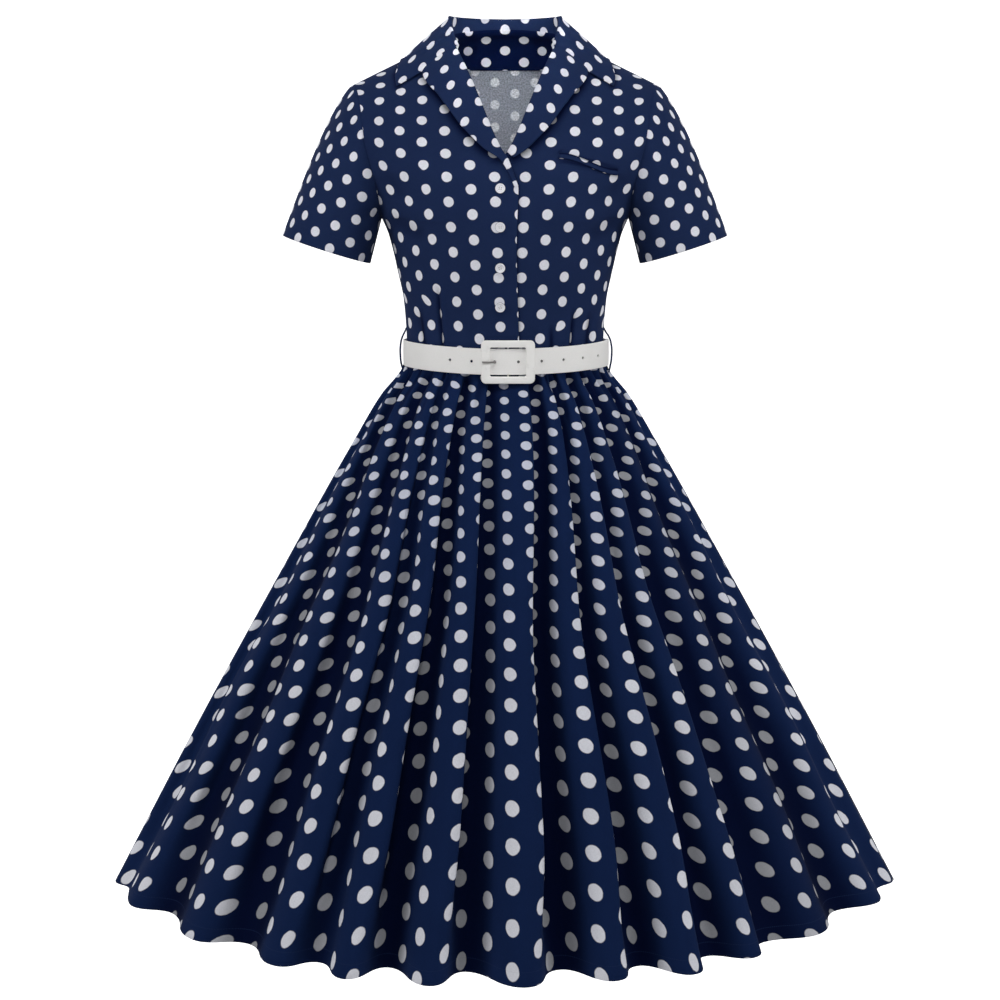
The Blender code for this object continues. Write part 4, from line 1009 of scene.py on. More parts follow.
COLLAR_HALF, STAND_LINES, CREST_LINES, FALL_LINES = 90, 9, 5, 26
COLLAR_CELL, COLLAR_START, COLLAR_THICK = (0.0265, 0.029), (1, 0.3), 0.0013
PRESSED = 0.0016  # how far the collar's front end is sewn down into the lapel
LAPEL_CELL, LAPEL_COLUMN, LAPEL_ROWS = (0.0262, 0.0285), -0.16, {-1: 0.3, 1: 0.05}
LAPEL_THICK, LAPEL_ACROSS = 0.0014, 30
LAPEL_STAND = 0.0034  # how much more a lapel stands off at the middle of its length
ROLL_RADIUS, ROLL_LINES = 0.00095, 8  # of the turned edge
# The first row of a lapel, hidden under the collar
LAPEL_TOP = {"roll_x": 0.0625, "roll_z": -0.006, "edge_x": 0.101, "edge_z": -0.036, "lift": 0.002}
WELT_COLUMN, WELT_ROW = 0.0292, 0.0122  # spacing of the dots, and how far down a row of them lies
WELT_ROUND = 0.0006  # how far the welt's long edges lie nearer the front than its middle


def make_collar(skins):
    """Lines from the neck seam over the crest to the edge, from the wearer's right to the left."""
    run = 1 - (1 - np.linspace(0, 1, COLLAR_HALF)) ** 1.35
    columns = resampled(list(COLLAR.values()), run)
    neck, crest, edge = (stacked(*columns[first : first + 3]) for first in (0, 3, 6))
    out = unit((edge - crest) * (1, 1, 0))
    down = np.array((0, 0, -CREST_DROP))
    inner, outer = crest - out * CREST_HALF + down, crest + out * CREST_HALF + down
    front = smooth((run - NOTCH_FROM) / (1 - NOTCH_FROM))
    pressed = PRESSED * smooth(1 - (1 - run) / 0.05)
    lines = [neck + (inner - neck) * share for share in np.linspace(0, 1, STAND_LINES)]
    for turn in np.linspace(0, math.pi, CREST_LINES + 2)[1:-1]:
        lines.append(crest + down * (1 - math.sin(turn)) - out * CREST_HALF * math.cos(turn))
    for share in np.linspace(0, 1, FALL_LINES) ** 1.15:
        line = outer + (edge - outer) * share + out * COLLAR_BULGE * math.sin(math.pi * share)
        dip = NOTCH_DROP * max(0, 1 - abs(share - NOTCH_SHARE) / NOTCH_SHARE)
        sag = COLLAR_SAG * math.sin(math.pi * math.sqrt(share))
        line[:, 2] -= dip * front + sag * smooth(2 * run)
        line = clear_of_bodice(line, COLLAR_LIFT) if share > 0 else line
        sink = pressed * smooth((NOTCH_SHARE - share) / 0.1)
        lines.append(line + sink[:, None] * (0, 1, -0.4))
    half = np.stack(lines, axis=1)
    points = np.concatenate([half[:0:-1] * (-1, 1, 1), half])
    around = lengths_along(points, 0)[:, STAND_LINES + CREST_LINES // 2, None]
    around = around - around[COLLAR_HALF - 1]
    across = lengths_along(points, 1)
    prints = stacked(
        around / COLLAR_CELL[0] + COLLAR_START[0], across / COLLAR_CELL[1] + COLLAR_START[1]
    )
    metres = stacked(around, across[:, -1:] - across)
    shell("cloth_collar", "collar", points, prints, metres, skins, out=-1, thick=COLLAR_THICK)


def make_lapel(name, node, side_sign, rows, count, skins):
    """Rows run down from the gorge, each from the turned edge to the free one."""
    columns = [np.append(first, rows[column]) for column, first in LAPEL_TOP.items()]
    columns[-1] = columns[-1] + LAPEL_STAND * np.sin(np.linspace(0, math.pi, len(columns[-1])))
    columns = resampled(columns, np.linspace(0, 1, count))
    roll_x, roll_z, edge_x, edge_z, lift = (column[:, None] for column in columns)
    share = np.linspace(0, 1, LAPEL_ACROSS)
    x = side_sign * (roll_x * (1 - share) + edge_x * share)
    z = roll_z * (1 - share) + edge_z * share
    lift = LAPEL_BASE + (lift - LAPEL_BASE) * np.sin(0.5 * math.pi * np.sqrt(share))
    points = on_bodice(x, z, -1, lift + lap_lift(x) if side_sign < 0 else lift)
    base = points[:, 0]
    inward, facing = unit(base - points[:, 3]), normals(base[:, 0], base[:, 2], -1)
    roll = [
        base + (inward * math.cos(turn) + facing * (math.sin(turn) - 1)) * ROLL_RADIUS
        for turn in np.linspace(-math.pi / 2, math.pi / 2, ROLL_LINES, endpoint=False)
    ]
    points = np.concatenate([np.stack(roll, axis=1), points], axis=1)
    far, down = lengths_along(points, 1), lengths_along(points, 0)[:, ROLL_LINES + 2, None]
    from_roll = far - far[:, ROLL_LINES // 2, None]
    prints = stacked(
        from_roll / LAPEL_CELL[0] + LAPEL_COLUMN, down / LAPEL_CELL[1] + LAPEL_ROWS[side_sign]
    )
    metres = stacked(down, far[:, -1:] - far)
    shell(name, node, points, prints, metres, skins, out=-side_sign, thick=LAPEL_THICK)


def make_welt(skins):
    share, down = np.linspace(0, 1, 60), np.linspace(0, 1, 12)[:, None]
    x = WELT_START[0] + (WELT_END[0] - WELT_START[0]) * share + 0 * down
    z = WELT_START[1] + (WELT_END[1] - WELT_START[1]) * smooth(share) - WELT_HEIGHT * down
    lift = LAYER + SEAM / 3 + creased(FRONT_CREASES, x, z) - WELT_ROUND * (2 * down - 1) ** 2
    points = on_bodice(x, z, -1, lift)
    around, low = metres_of(points)[0], WELT_HEIGHT * down
    prints = stacked((around - LEFT_COLUMN[0]) / WELT_COLUMN + 0.5, (low - WELT_ROW) / DOT_ROW)
    # Painted shade: the welt darkens towards its top and bottom edges, like the shadow of the
    # pocket's opening.
    shade = np.maximum(0.92 * smooth((0.42 - down) / 0.3), 0.8 * smooth((down - 0.8) / 0.2)) + 0 * x
    metres = stacked(around, low)
    shell("cloth_welt", "pocket_welt", points, prints, metres, skins, out=-1, tuck=shade)


# ---------------------------------------------------------------- skirt

SKIRT_RINGS, SKIRT_PER_HALF = 118, 12  # rings, and columns from a ridge to the next valley
RING_POWER = 1.3  # which draws the rings together at the waist
ROW_FIRST, ROW_GROWTH, ROW_START = 0.02261, 0.04195, 0.044
COLUMN_WIDTHS = (0.0235, 0.0455)  # of the print at the waist and at the hem
ROWS_ABOVE = 10.7  # rows from the middle of the flat panel's circle to the print's row 0
SHADE_FROM, SHADE_RUN = 0.36, 0.55  # depth in the folds where shade starts, and how it grows
PAINTED_PINCH_SHADE, PINCH_DEPTH = 0.7, 0.0016  # darkness of the painted shade in the gathers' troughs, and depth of such a trough
SWAY, SWAY_LENGTH = 0.0016, 0.27  # of the folds' slow waves
SEAM_REACH = 0.0005  # how far the edges at a side seam reach to each other
MIDDLE_RIDGE = {-1: 2.2, 1: -3}
GATHER_WAVES, GATHER_LENGTHS = 9, (0.0065, 0.023)  # of the gathers along the waist
GATHER_HEIGHT, GATHER_REACH, GATHER_PATCH = 0.15, 3.2, 4.3  # in lengths of the wave
SHIFT_ENDS = -0.74
# Degrees by which the front's folds start further to the left than they hang, for angles
TOP_SHIFT = table(
    "angle shift",
    (-90, 0), (-20, 0), (-5.6, 0.2), (2.2, 3.4), (8.4, 6.6), (14.2, 4.6), (20, 2.2), (27, 0.6),
    (40, 0), (90, 0),
)
# x of one column of dots near the middle of the front
MIDDLE_COLUMN = table(
    "height x",
    (-1.075, 0.0088), (-0.9, 0.007), (-0.72, 0.0043), (-0.56, 0.0006), (-0.44, -0.0021),
    (-0.3997, -0.0026),
)
# Angle and depth below the waist, to angle and depth, width and height of the smaller folds
SKIRT_FRONT_CREASES = (
    (-72, 0, -70, 0.16, 0.006, 0.003), (-63, 0, -60, 0.1, 0.0045, -0.0024),
    (-56, 0, -55, 0.21, 0.006, 0.003), (-47, 0, -46, 0.12, 0.0045, -0.0022),
    (-39, 0, -37.5, 0.17, 0.0055, 0.0026), (-34, 0, -35, 0.09, 0.004, -0.0022),
    (-24.5, 0, -24.5, 0.14, 0.005, 0.0022), (-13.5, 0, -13, 0.11, 0.004, 0.0016),
    (-8, 0, -7.5, 0.08, 0.0035, -0.0014), (11.5, 0, 11.5, 0.1, 0.004, 0.0018),
    (17, 0, 17.5, 0.15, 0.0045, 0.0024), (22.8, 0, 23, 0.09, 0.004, -0.002),
    (29, 0, 29, 0.17, 0.005, 0.0024), (34.5, 0, 34, 0.09, 0.004, -0.002),
    (41, 0, 40, 0.2, 0.0055, 0.0028), (48, 0, 49, 0.12, 0.0045, -0.0024),
    (58, 0, 59, 0.19, 0.006, 0.003), (70, 0, 71, 0.13, 0.0055, 0.0028),
    (-58, 0.26, -57, 0.76, 0.012, 0.003), (-69, 0.22, -70.5, 0.62, 0.011, -0.0026),
    (-79, 0.3, -79.5, 0.74, 0.012, 0.003), (-46.5, 0.3, -46.5, 0.7, 0.009, 0.0022),
    (48.5, 0.24, 48, 0.68, 0.009, 0.0026), (60.5, 0.28, 61, 0.74, 0.012, 0.003),
    (72, 0.2, 71.5, 0.66, 0.011, -0.0026),
)
SKIRT_BACK_CREASES = (
    (-70, 0, -69, 0.18, 0.006, 0.0032), (-60, 0, -59, 0.12, 0.0045, -0.0024),
    (-52, 0, -53, 0.2, 0.006, 0.003), (-41, 0, -41, 0.13, 0.005, -0.0024),
    (-33, 0, -32, 0.22, 0.0055, 0.0028), (-24, 0, -24.5, 0.1, 0.0045, -0.002),
    (-14, 0, -14, 0.17, 0.005, 0.0026), (-5, 0, -5.5, 0.12, 0.0045, -0.0022),
    (4, 0, 4.5, 0.19, 0.005, 0.0024), (12, 0, 12, 0.11, 0.0045, -0.0022),
    (20, 0, 21, 0.2, 0.0055, 0.0028), (30, 0, 30, 0.12, 0.0045, -0.0024),
    (38, 0, 37, 0.18, 0.0055, 0.0028), (47, 0, 48, 0.12, 0.005, -0.0024),
    (57, 0, 57, 0.21, 0.006, 0.003), (68, 0, 69, 0.15, 0.0055, 0.0028),
    (-63, 0.3, -63, 0.74, 0.012, 0.0032), (-33, 0.34, -34, 0.74, 0.01, -0.003),
    (12, 0.28, 11, 0.7, 0.011, 0.003), (53.5, 0.3, 54, 0.74, 0.012, 0.0032),
)


def moved(points, rings, degrees):
    """Turns each ring's points round the waist's ellipse."""
    scale = stacked(rings["side"], rings["front"], 1)[:, None, :]
    x, y, z = np.moveaxis(points / scale, -1, 0)
    sin, cos = np.sin(np.radians(degrees)), np.cos(np.radians(degrees))
    return stacked(x * cos - y * sin, y * cos + x * sin, z) * scale


def gathered(waist, down, seed):
    """Height of the fine gathers that run out below the waist, for places along it."""
    random = np.random.default_rng(seed)
    height = 0
    for length in np.geomspace(*GATHER_LENGTHS, GATHER_WAVES):
        phase, drift = random.uniform(0, 2 * math.pi), random.uniform(-0.6, 0.6)
        reach = GATHER_REACH * length
        patches = np.sin(2 * math.pi * waist / (length * GATHER_PATCH) + 2 * phase) * 0.5 + 0.5
        wave = np.sin(2 * math.pi * waist / length + phase + drift * down / reach) * patches
        fade = np.exp(-((down / reach) ** 2)) * smooth(down / 0.01 + 0.45)
        height = height + GATHER_HEIGHT * length * wave * fade / math.sqrt(GATHER_WAVES / 3)
    return height


def skirt_print(points, slant, height, angle, side):
    """Places in the print of a panel cut as half a ring, with straight grain down its middle."""
    around = lengths_along(points, 1)
    crest = int(np.argmin(np.abs(angle - MIDDLE_RIDGE[side])))
    start = around[:, crest]
    if side < 0:
        start = start + at(MIDDLE_COLUMN, "x", height) - points[:, crest, 0]
    around = around - start[:, None]
    spacing = np.interp(slant, (0, slant[-1]), COLUMN_WIDTHS)
    row = np.log(1 + ROW_GROWTH * (slant - ROW_START) / ROW_FIRST) / math.log(1 + ROW_GROWTH)
    far = (row + ROWS_ABOVE)[:, None]
    turn = around / (spacing[:, None] * far)
    return stacked(far * np.sin(turn), far * np.cos(turn) - ROWS_ABOVE), around, turn


def make_skirt(name, node, folds, creases, side, seed, skins):
    hem, waist = SKIRT["height"][0], SKIRT["height"][-1]
    height = waist + (hem - waist) * np.linspace(0, 1, SKIRT_RINGS) ** RING_POWER
    rings = {column: at(SKIRT, column, height) for column in SKIRT}
    slant = running(np.hypot(np.diff(height), np.diff(rings["front"] - rings["fold"] * 0.5)))
    columns = fold_columns(folds, SKIRT_PER_HALF)
    angle, phase, _, crest, trough = columns
    points, printed = (skirt_points(columns, side, rings, even) for even in (True, False))
    if side < 0:
        high = smooth((height - SHIFT_ENDS) / (waist - SHIFT_ENDS))[:, None]
        shift = high * curve(TOP_SHIFT["angle"], TOP_SHIFT["shift"], angle)
        points, printed = moved(points, rings, shift), moved(printed, rings, shift)
    turn, down, wide = np.radians(angle), slant[:, None], rings["side"][:, None]
    out = unit(stacked(np.sin(turn) / wide[0], side * np.cos(turn) / rings["front"][0], 0))
    lift = gathered(turn * wide[0], down, seed)
    for from_angle, start, to_angle, end, width, deep in creases:
        part = np.clip((down - start) / (end - start), 0, 1)
        off = (turn - np.radians(from_angle + (to_angle - from_angle) * part)) * wide
        ends = smooth(part / 0.25 + (0.5 if start == 0 else 0)) * smooth((1 - part) / 0.45)
        ends = ends * ((down >= start) & (down <= end))
        width = width * (0.6 + 0.4 * down / max(end, 0.2))
        lift = lift + deep * ends * np.exp(-((off / width) ** 2))
    sway = SWAY * np.sin(2 * math.pi * down / SWAY_LENGTH + angle / 9)
    sway = sway * smooth(down / 0.25) * smooth((90 - np.abs(angle)) / 8)
    points = points + out * (lift + sway)[..., None]
    for edge, inner in ((0, 1), (-1, -2)):
        points[:, edge] += unit(points[:, edge] - points[:, inner]) * SEAM_REACH
    prints, around, grain = skirt_print(printed, slant, height, angle, side)
    # Painted shade: darker deep in the folds' valleys, and in the gathers' troughs near the waist.
    deep = fold_depth(phase, crest, trough) / 2
    pinch_shade = PAINTED_PINCH_SHADE * smooth(-lift / PINCH_DEPTH) * smooth((0.2 - down) / 0.08)
    shade = np.maximum(smooth((deep - SHADE_FROM) / SHADE_RUN) * smooth(down / 0.02), pinch_shade)
    off = np.abs(angle)
    flank = smooth(off / 60) * (1 - smooth((off - 66) / 20)) + 0 * down
    marks = {"tuck": shade, "flank": flank, "grain": grain}
    metres = stacked(around, slant[-1] - down)
    shell(name, node, points, prints, metres, skins, out=side, **marks)


# ---------------------------------------------------------------- belt, buttons, loops

STRAP_STATIONS, STRAP_CORNER, STRAP_CROWN = 420, 0.0006, 0.00022
STRAP_CROWN_SHARES = (0.85, 0.6, 0.3, 0, -0.3, -0.6, -0.85)
HOLE_WIDER = 1.15  # how much wider the strap's holes are seen than in the solid
# Dark discs set in the belt's holes as painted shade: radius, thickness and depth
SHADE_DISC_RADIUS, SHADE_DISC_THICK = HOLE_RADIUS * 1.1, 0.0003
SHADE_DISC_DEPTH = 0.3  # share of the strap's thickness
BUCKLE_BEVEL, BUCKLE_CROWN = 0.0011, 0.0003
BAR_RADIUS, BAR_RISE = 0.0011, 0.0008  # and how deep its ends lie in the frame
PRONG_WIDER, PRONG_STEP = 1.2, 0.0004  # than the solid's, and least way between its rings
# Shares of a button's radius and thickness, from the middle of its face over the rim to its back
BUTTON_LINES = (
    (0, 0.6), (0.3, 0.6), (0.52, 0.61), (0.62, 0.66), (0.69, 0.86), (0.76, 0.98), (0.84, 1),
    (0.92, 0.96), (0.975, 0.82), (1, 0.6), (0.99, 0.36), (0.95, 0.14), (0.88, 0.02), (0, 0),
)
BUTTON_WELL = 0.66  # share of the radius where the sunk middle of a button starts
BUTTON_FLOOR = 0.62  # share of the thickness at which its thread lies
HOLE_PLACE, HOLE_SIZE = 0.0013, 0.00062
THREAD_RADIUS, THREAD_RISE, THREAD_SINK = 0.00034, 0.0004, 0.0006  # it sinks at its ends
LOOP_THICK, LOOP_CROWN = 0.002, 0.0003


def add_rings(model, rings, closed=False, index=0):
    loops = [[model.verts.new(point) for point in ring] for ring in rings]
    pairs = list(zip(loops, loops[1:]))
    if closed:
        pairs.append((loops[-1], loops[0]))
    faces = []
    for first, second in pairs:
        for step in range(len(first)):
            after = (step + 1) % len(first)
            faces.append((first[step], first[after], second[after], second[step]))
    if not closed:
        faces += [loops[0], loops[-1][::-1]]
    for face in faces:
        model.faces.new(face).material_index = index


def meshed(name, model, skins=()):
    mesh = bpy.data.meshes.new(name)
    model.to_mesh(mesh)
    model.free()
    for skin in skins:
        mesh.materials.append(skin)
    return mesh


def swept(name, node, rings, skins, closed=False, replaces=True):
    """A body through rings of points; closed joins the last ring to the first."""
    model = bmesh.new()
    add_rings(model, rings, closed)
    bmesh.ops.recalc_face_normals(model, faces=model.faces)
    mesh = meshed(name, model, skins)
    mesh.shade_smooth()
    mesh.set_sharp_from_angle(angle=math.radians(48))
    return placed(name, mesh, node, replaces)


def tube_rings(path, radii, sides, up):
    """Round rings square to a path."""
    tangents = unit(np.gradient(path, axis=0))
    side = unit(np.cross(up, tangents))
    rise = np.cross(tangents, side)
    angles = np.linspace(0, 2 * math.pi, sides, endpoint=False)[:, None]
    return [
        p + r * (np.cos(angles) * s + np.sin(angles) * u)
        for p, r, s, u in zip(path, np.broadcast_to(radii, len(path)), side, rise)
    ]


def drums(name, holes, skins=()):
    """Round drums, given as placed matrices with radius and depth."""
    model = bmesh.new()
    for matrix, radius, deep in holes:
        sizes = {"radius1": radius, "radius2": radius, "depth": deep, "segments": 20}
        bmesh.ops.create_cone(model, cap_ends=True, matrix=matrix, **sizes)
    return meshed(name, model, skins)


def pierced(target, holes):
    """Cuts drums out of an object."""
    punch = linked("punch", drums("punch", holes))
    cut = target.modifiers.new("Holes", "BOOLEAN")
    cut.operation, cut.solver, cut.object = "DIFFERENCE", "EXACT", punch
    bpy.context.view_layer.update()
    seen = target.evaluated_get(bpy.context.evaluated_depsgraph_get())
    done = bpy.data.meshes.new_from_object(seen)
    target.modifiers.clear()
    target.data = done
    done.set_sharp_from_angle(angle=math.radians(40))
    bpy.data.objects.remove(punch)


def turned_out(spot, away):
    """Where something sits that faces away from the wearer."""
    return Matrix.Translation(spot) @ Vector(away).to_track_quat("Z", "Y").to_matrix().to_4x4()


def hole_place(turn, sunk=0):
    spot, away = belt_curve(turn, strap_lift(turn))
    return turned_out(spot - away * sunk, away)


def strap_profile():
    """z and lift round the strap's section: a flat back, a slightly crowned face, rounded edges."""
    half, thick = BELT_WIDTH / 2 - STRAP_CORNER, BELT_THICK / 2 - STRAP_CORNER
    points = []
    corners = ((half, thick), (-half, thick), (-half, -thick), (half, -thick))
    for quarter, (z, lift) in enumerate(corners):
        for turn in np.linspace(quarter, quarter + 1, 5) * math.pi / 2:
            points.append((z + STRAP_CORNER * math.cos(turn), lift + STRAP_CORNER * math.sin(turn)))
        if quarter == 0:
            crowns = [(share, STRAP_CROWN * (1 - share**2)) for share in STRAP_CROWN_SHARES]
            points += [(half * share, BELT_THICK / 2 + crown) for share, crown in crowns]
    return np.array(points)


def make_strap(skins):
    turns = np.linspace(STRAP_START, STRAP_END, STRAP_STATIONS)
    z, lift = (column[:, None] for column in strap_profile().T)
    spots = zip(*belt_curve(turns, strap_lift(turns)))
    rings = [spot + away * lift + z * (0, 0, 1) for spot, away in spots]
    strap = swept("leather_strap", "belt_strap", rings, skins)
    radius = HOLE_RADIUS * HOLE_WIDER
    pierced(strap, [(hole_place(turn), radius, CUTTER_DEPTH) for turn in hole_turns()])


def make_hole_shade_discs(skins):
    """Dark discs in those holes that have the strap's other layer behind them: painted shade in the
    holes.
    """
    name, sunk = "strap_hole_painted_shade", BELT_THICK * SHADE_DISC_DEPTH
    backed = [turn for turn in hole_turns() if turn > 2 * math.pi + STRAP_START]
    shade_discs = [(hole_place(turn, sunk), SHADE_DISC_RADIUS, SHADE_DISC_THICK) for turn in backed]
    placed(name, drums(name, shade_discs, skins), "belt_strap", replaces=False)


def frame_outline(width, height, radius):
    """A rounded rectangle with many points, anticlockwise."""
    corners = []
    for quarter, (side_x, side_z) in enumerate(((1, 1), (-1, 1), (-1, -1), (1, -1))):
        angles = np.linspace(quarter, quarter + 1, 9) * math.pi / 2
        x = side_x * (width / 2 - radius) + radius * np.cos(angles)
        z = side_z * (height / 2 - radius) + radius * np.sin(angles)
        corners.append(stacked(x, z))
    shares = np.arange(1, 9)[:, None] / 9
    outline = []
    for corner, after in zip(corners, corners[1:] + corners[:1]):
        outline += [corner, corner[-1] + (after[0] - corner[-1]) * shares]
    return np.concatenate(outline)


def make_buckle(skins):
    outer = frame_outline(*BUCKLE_OUTER, BUCKLE_CORNER)
    inner = frame_outline(*BUCKLE_WINDOW, BUCKLE_CORNER / 3)
    bevel = [(0, 0)]
    for turn in np.linspace(0, math.pi / 2, 6):
        lift = BUCKLE_THICK - BUCKLE_BEVEL * (1 - math.sin(turn))
        bevel.append((BUCKLE_BEVEL * (1 - math.cos(turn)), lift))
    loops = [(outer, -inset, lift) for inset, lift in bevel]
    loops.append(((outer + inner) / 2, 0, BUCKLE_THICK + BUCKLE_CROWN))
    loops += [(inner, inset, lift) for inset, lift in bevel[::-1]]
    rings = []
    for outline, inset, lift in loops:
        x, z = (outline + np.sign(outline) * inset).T + [[BUCKLE_X], [BUCKLE_Z]]
        rings.append(stacked(x, buckle_y(x, FRAME_BACK + lift), z))
    swept("frame_buckle", "belt_buckle", rings, skins, closed=True)


def make_bar(skins):
    turn = np.linspace(-1, 1, 24)
    rise = (FRAME_BACK + BAR_RISE) * smooth((np.abs(turn) - 0.9) / 0.1)
    path = stacked(BUCKLE_X, -BELT_FRONT - rise, BUCKLE_Z + turn * (BAR_REACH - BAR_THICK / 2))
    rings = tube_rings(path, BAR_RADIUS, 12, (1, 0, 0))
    swept("buckle_bar", "belt_buckle", rings, skins, replaces=False)


def make_prong(skins):
    x, lift, size = resampled(np.array(PRONG_PATH).T, np.linspace(0, 1, 60))
    path = stacked(x, -BELT_FRONT - lift, BUCKLE_Z)
    keep = [0]
    for step in range(1, len(path)):
        if np.linalg.norm(path[step] - path[keep[-1]]) > PRONG_STEP:
            keep.append(step)
    path, size = path[keep], size[keep]
    size[-1] *= 0.5
    rings = tube_rings(path, PRONG_WIDER * PRONG_RADIUS * size, 14, (0, 0, 1))
    swept("pin_prong", "belt_prong", rings, skins)


def make_buttons(skins):
    angles = np.linspace(0, 2 * math.pi, 48, endpoint=False)
    rings = []
    for radius, rise in BUTTON_LINES:
        reach = BUTTON_RADIUS * max(radius, 0.02)
        rings.append(stacked(reach * np.cos(angles), reach * np.sin(angles), BUTTON_THICK * rise))
    spots = [(a * HOLE_PLACE, b * HOLE_PLACE, 0.001) for a in (-1, 1) for b in (-1, 1)]
    steps = np.linspace(-1, 1, 11)
    rise = BUTTON_THICK * BUTTON_FLOOR + THREAD_RISE * (1 - steps**4)
    rise = rise - THREAD_SINK * (np.abs(steps) > 0.95)
    for number, z in enumerate(BUTTON_HEIGHTS, start=1):
        button = swept(f"sewn_button_{number}", f"button_{number}", rings, skins)
        pierced(button, [(Matrix.Translation(spot), HOLE_SIZE, 0.004) for spot in spots])
        mesh, model = button.data, bmesh.new()
        model.from_mesh(mesh)
        for side in (-HOLE_PLACE, HOLE_PLACE):
            path = stacked(side, steps * HOLE_PLACE, rise)
            add_rings(model, tube_rings(path, THREAD_RADIUS, 8, (1, 0, 0)), index=1)
        bmesh.ops.recalc_face_normals(model, faces=model.faces)
        model.to_mesh(mesh)
        model.free()
        far = np.array([vertex.co.xy.length for vertex in mesh.vertices]) / BUTTON_RADIUS
        # Painted shade: darker at the edge of the sunk middle and round the outer rim.
        painted_rim_shade = 0.3 * np.exp(-(((far - BUTTON_WELL) / 0.07) ** 2)) + smooth((far - 0.9) / 0.1)
        mark = mesh.attributes.new("painted_rim_shade", "FLOAT", "POINT")
        mark.data.foreach_set("value", painted_rim_shade.astype(np.float32))
        seat = on_bodice(BUTTON_X, z, -1, lap_lift(BUTTON_X) + WALL / 2 + SEAM)
        place = turned_out(seat, normals(BUTTON_X, z, -1))
        mesh.transform(place @ Matrix.Rotation(math.radians(11 * number - 20), 4, "Z"))
        mesh.shade_smooth()
        mesh.set_sharp_from_angle(angle=math.radians(48))


def make_loop(name, node, side_sign, stand, skins):
    """A narrow stitched loop over the belt at a side seam."""
    x, z, held = np.array(LOOP_PATH).T
    z[-1] -= LOOP_DROP * stand
    columns = resampled((x + stand * held, z), np.linspace(0, 1, 70))
    x, z = (column[:, None] for column in columns)
    across = np.linspace(-LOOP_WIDTH / 2, LOOP_WIDTH / 2, 9)
    crown = LOOP_CROWN * (1 - (across / (LOOP_WIDTH / 2)) ** 2)
    points = stacked(side_sign * (x + crown), across, z)
    down = lengths_along(points, 0)
    prints = stacked(across / DOT_COLUMN + 0.5, down / DOT_ROW + 0.2)
    metres = stacked(down, across + LOOP_WIDTH / 2)
    shell(name, node, points, prints, metres, skins, out=side_sign, thick=LOOP_THICK)


# ---------------------------------------------------------------- studio

FLOOR_Z = -1.46
CAMERA_SPOT, CAMERA_AIM, CAMERA_ANGLE = (-0.0064, -3.1, -0.161), (-0.0064, 0, -0.576), 23.04
AMBIENT = 0.085
# Name, place, aim, size, power and spread in degrees
LIGHTS = (
    ("light_left", (-3.1, -1.35, 0.7), (0, 0, -0.3), 1.6, 34.5, 180),
    ("light_right", (3.1, -1.35, 0.7), (0, 0, -0.3), 1.6, 37, 180),
    ("light_top", (0, -1.9, 2.3), (0, 0, -0.05), 1.2, 33, 180),
    ("light_front", (0, -3.3, 0.9), (0, 0, 0.02), 0.6, 0.6, 30),
    ("light_neck", (0, -1.6, 0.75), (0, 0.08, 0.005), 0.15, 0.058, 9),
    ("light_back_left", (-2, 2.4, 1.2), (0, 0, -0.3), 1.6, 28, 180),
    ("light_back_right", (2, 2.4, 1.2), (0, 0, -0.3), 1.6, 28, 180),
)


def aimed(name, data, spot, aim):
    made = linked(name, data)
    made.location = spot
    made.rotation_euler = (Vector(aim) - Vector(spot)).to_track_quat("-Z", "Y").to_euler()
    return made


def make_studio():
    """A white floor that curves up behind the dress."""
    bend = np.linspace(0.1, math.pi / 2, 12)
    y = np.concatenate([[-7, 3.2], 3.2 + 1.6 * np.sin(bend), [4.8]])
    z = np.concatenate([[0, 0], 1.6 - 1.6 * np.cos(bend), [6]]) + FLOOR_Z
    vertices = [(x, *spot) for spot in zip(y, z) for x in (-9, 9)]
    faces = [(i, i + 1, i + 3, i + 2) for i in range(0, 2 * len(y) - 2, 2)]
    floor = bpy.data.meshes.new("floor")
    floor.from_pydata(vertices, [], faces)
    floor.shade_smooth()
    graph = Graph("studio_floor", Roughness=0.9, Specular_IOR_Level=0.1, Emission_Color=(1, 1, 1))
    tone = graph.noise(graph.spot(), 2).eased(0.3, 0.7, 0.99, 1)
    seen = graph.node("ShaderNodeLightPath", output="Is Camera Ray").linear(0, 1, 0.04, 0.92)
    paint = graph.node("ShaderNodeVectorMath", (0.88, 0.88, 0.88), operation="SCALE", Scale=tone)
    graph.fill(graph.shader, {"Base Color": paint, "Emission Strength": seen})
    floor.materials.append(graph.made)
    linked("studio_floor", floor)


def make_light():
    world = bpy.data.worlds.new("studio")
    world.use_nodes = True
    tree = world.node_tree
    back = tree.nodes["Background"]
    back.inputs[0].default_value = (1, 1, 1, 1)
    seen = tree.nodes.new("ShaderNodeLightPath")
    strength = tree.nodes.new("ShaderNodeMapRange")
    strength.inputs[3].default_value, strength.inputs[4].default_value = AMBIENT, 1
    tree.links.new(seen.outputs["Is Camera Ray"], strength.inputs[0])
    tree.links.new(strength.outputs[0], back.inputs[1])
    bpy.context.scene.world = world
    for name, spot, aim, size, power, spread in LIGHTS:
        data = bpy.data.lights.new(name, "AREA")
        data.shape, data.size, data.energy = "DISK", size, power
        data.spread = math.radians(spread)
        aimed(name, data, spot, aim)


def make_camera():
    data = bpy.data.cameras.new("camera")
    data.sensor_fit = "HORIZONTAL"
    data.angle = math.radians(CAMERA_ANGLE)
    scene = bpy.context.scene
    scene.camera = aimed("camera", data, CAMERA_SPOT, CAMERA_AIM)
    scene.view_settings.view_transform = "Standard"
    scene.view_settings.look = "None"


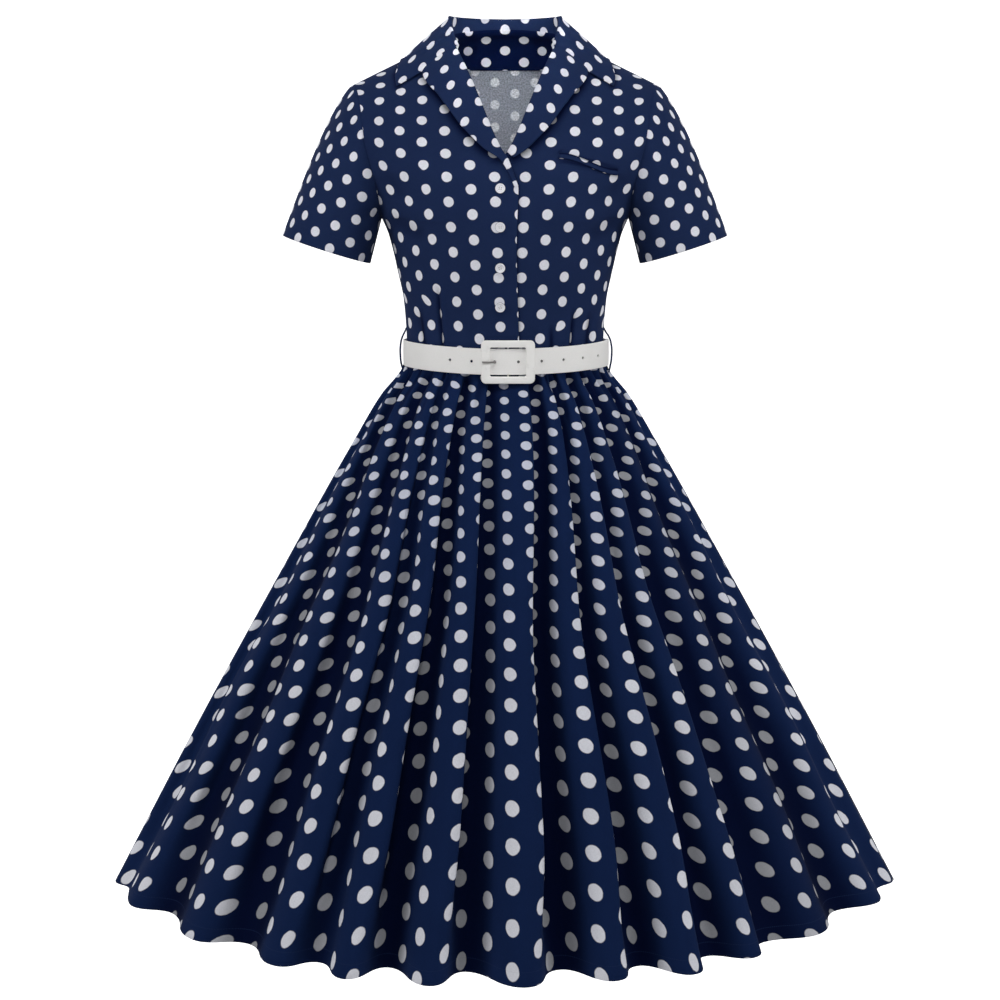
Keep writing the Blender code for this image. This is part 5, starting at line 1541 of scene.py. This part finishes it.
def make_dress():
    wide, high = DOT_WIDE / DOT_COLUMN, DOT_HIGH / DOT_ROW
    outside = cloth_material("navy_dotted", wide, high)
    inside = cloth_material("navy_dotted_inside", wide, high, wrong=True)
    cuff_wide = wide * SLEEVE_DOTS / CUFF_DOTS
    cuffed = cloth_material("navy_dotted_cuff", cuff_wide, high, stitch=CUFF_STITCH)
    # The skirt's navy is painted shade, darker than the bodice's.
    hemmed = cloth_material(
        "navy_dotted_skirt", None, None, stitch=HEM_STITCH, skirt=True, navy=NAVY_SKIRT_PAINTED_SHADE
    )
    under = cloth_material("navy_dotted_skirt_inside", None, None, skirt=True, wrong=True)
    skins, hem_skins = (outside, inside), (hemmed, under)
    make_front("cloth_front_right", "front_right", -1, upper_edge, lap_lift, RIGHT_COLUMN, skins)
    make_front("cloth_front_left", "front_left", 1, lower_edge, np.zeros_like, LEFT_COLUMN, skins)
    make_back(skins)
    # The facing's navy is darker than the outside's: painted shade inside the neck.
    make_facing((cloth_material("navy_dotted_facing_painted_shade", *FACING_DOT, navy=NAVY_NECK_PAINTED_SHADE), inside))
    make_sleeve("cloth_sleeve_right", "sleeve_right", -1, (cuffed, inside))
    make_sleeve("cloth_sleeve_left", "sleeve_left", 1, (cuffed, inside))
    make_collar((outside,))
    whole = {name: np.append(LAPEL[name], LAPEL_TAIL[name]) for name in LAPEL}
    make_lapel("cloth_lapel_left", "lapel_left", 1, LAPEL, 90, (outside,))
    make_lapel("cloth_lapel_right", "lapel_right", -1, whole, 110, (outside,))
    make_welt((outside,))
    for end, folds, creases, side, seed in (
        ("front", FRONT_FOLDS, SKIRT_FRONT_CREASES, -1, 11),
        ("back", BACK_FOLDS, SKIRT_BACK_CREASES, 1, 23),
    ):
        make_skirt(f"cloth_skirt_{end}", f"skirt_{end}", folds, creases, side, seed, hem_skins)
    plastic = plastic_material("buckle_plastic", BUCKLE_SHADE, 0.3)
    pearl = plastic_material("button_plastic", BUTTON_SHADE, 0.24)
    make_strap((leather_material("belt_leather", BELT_SHADE),))
    make_hole_shade_discs((leather_material("belt_hole_painted_shade", HOLE_PAINTED_SHADE),))
    make_buckle((plastic,))
    make_bar((plastic,))
    make_prong((metal_material("prong_metal"),))
    make_buttons((pearl, thread_material("button_thread", BUTTON_THREAD_SHADE)))
    make_loop("cord_loop_right", "belt_loop_right", -1, 0, (outside,))
    make_loop("cord_loop_left", "belt_loop_left", 1, BELT_LAYER, (outside,))


make_dress()
make_studio()
make_light()
make_camera()
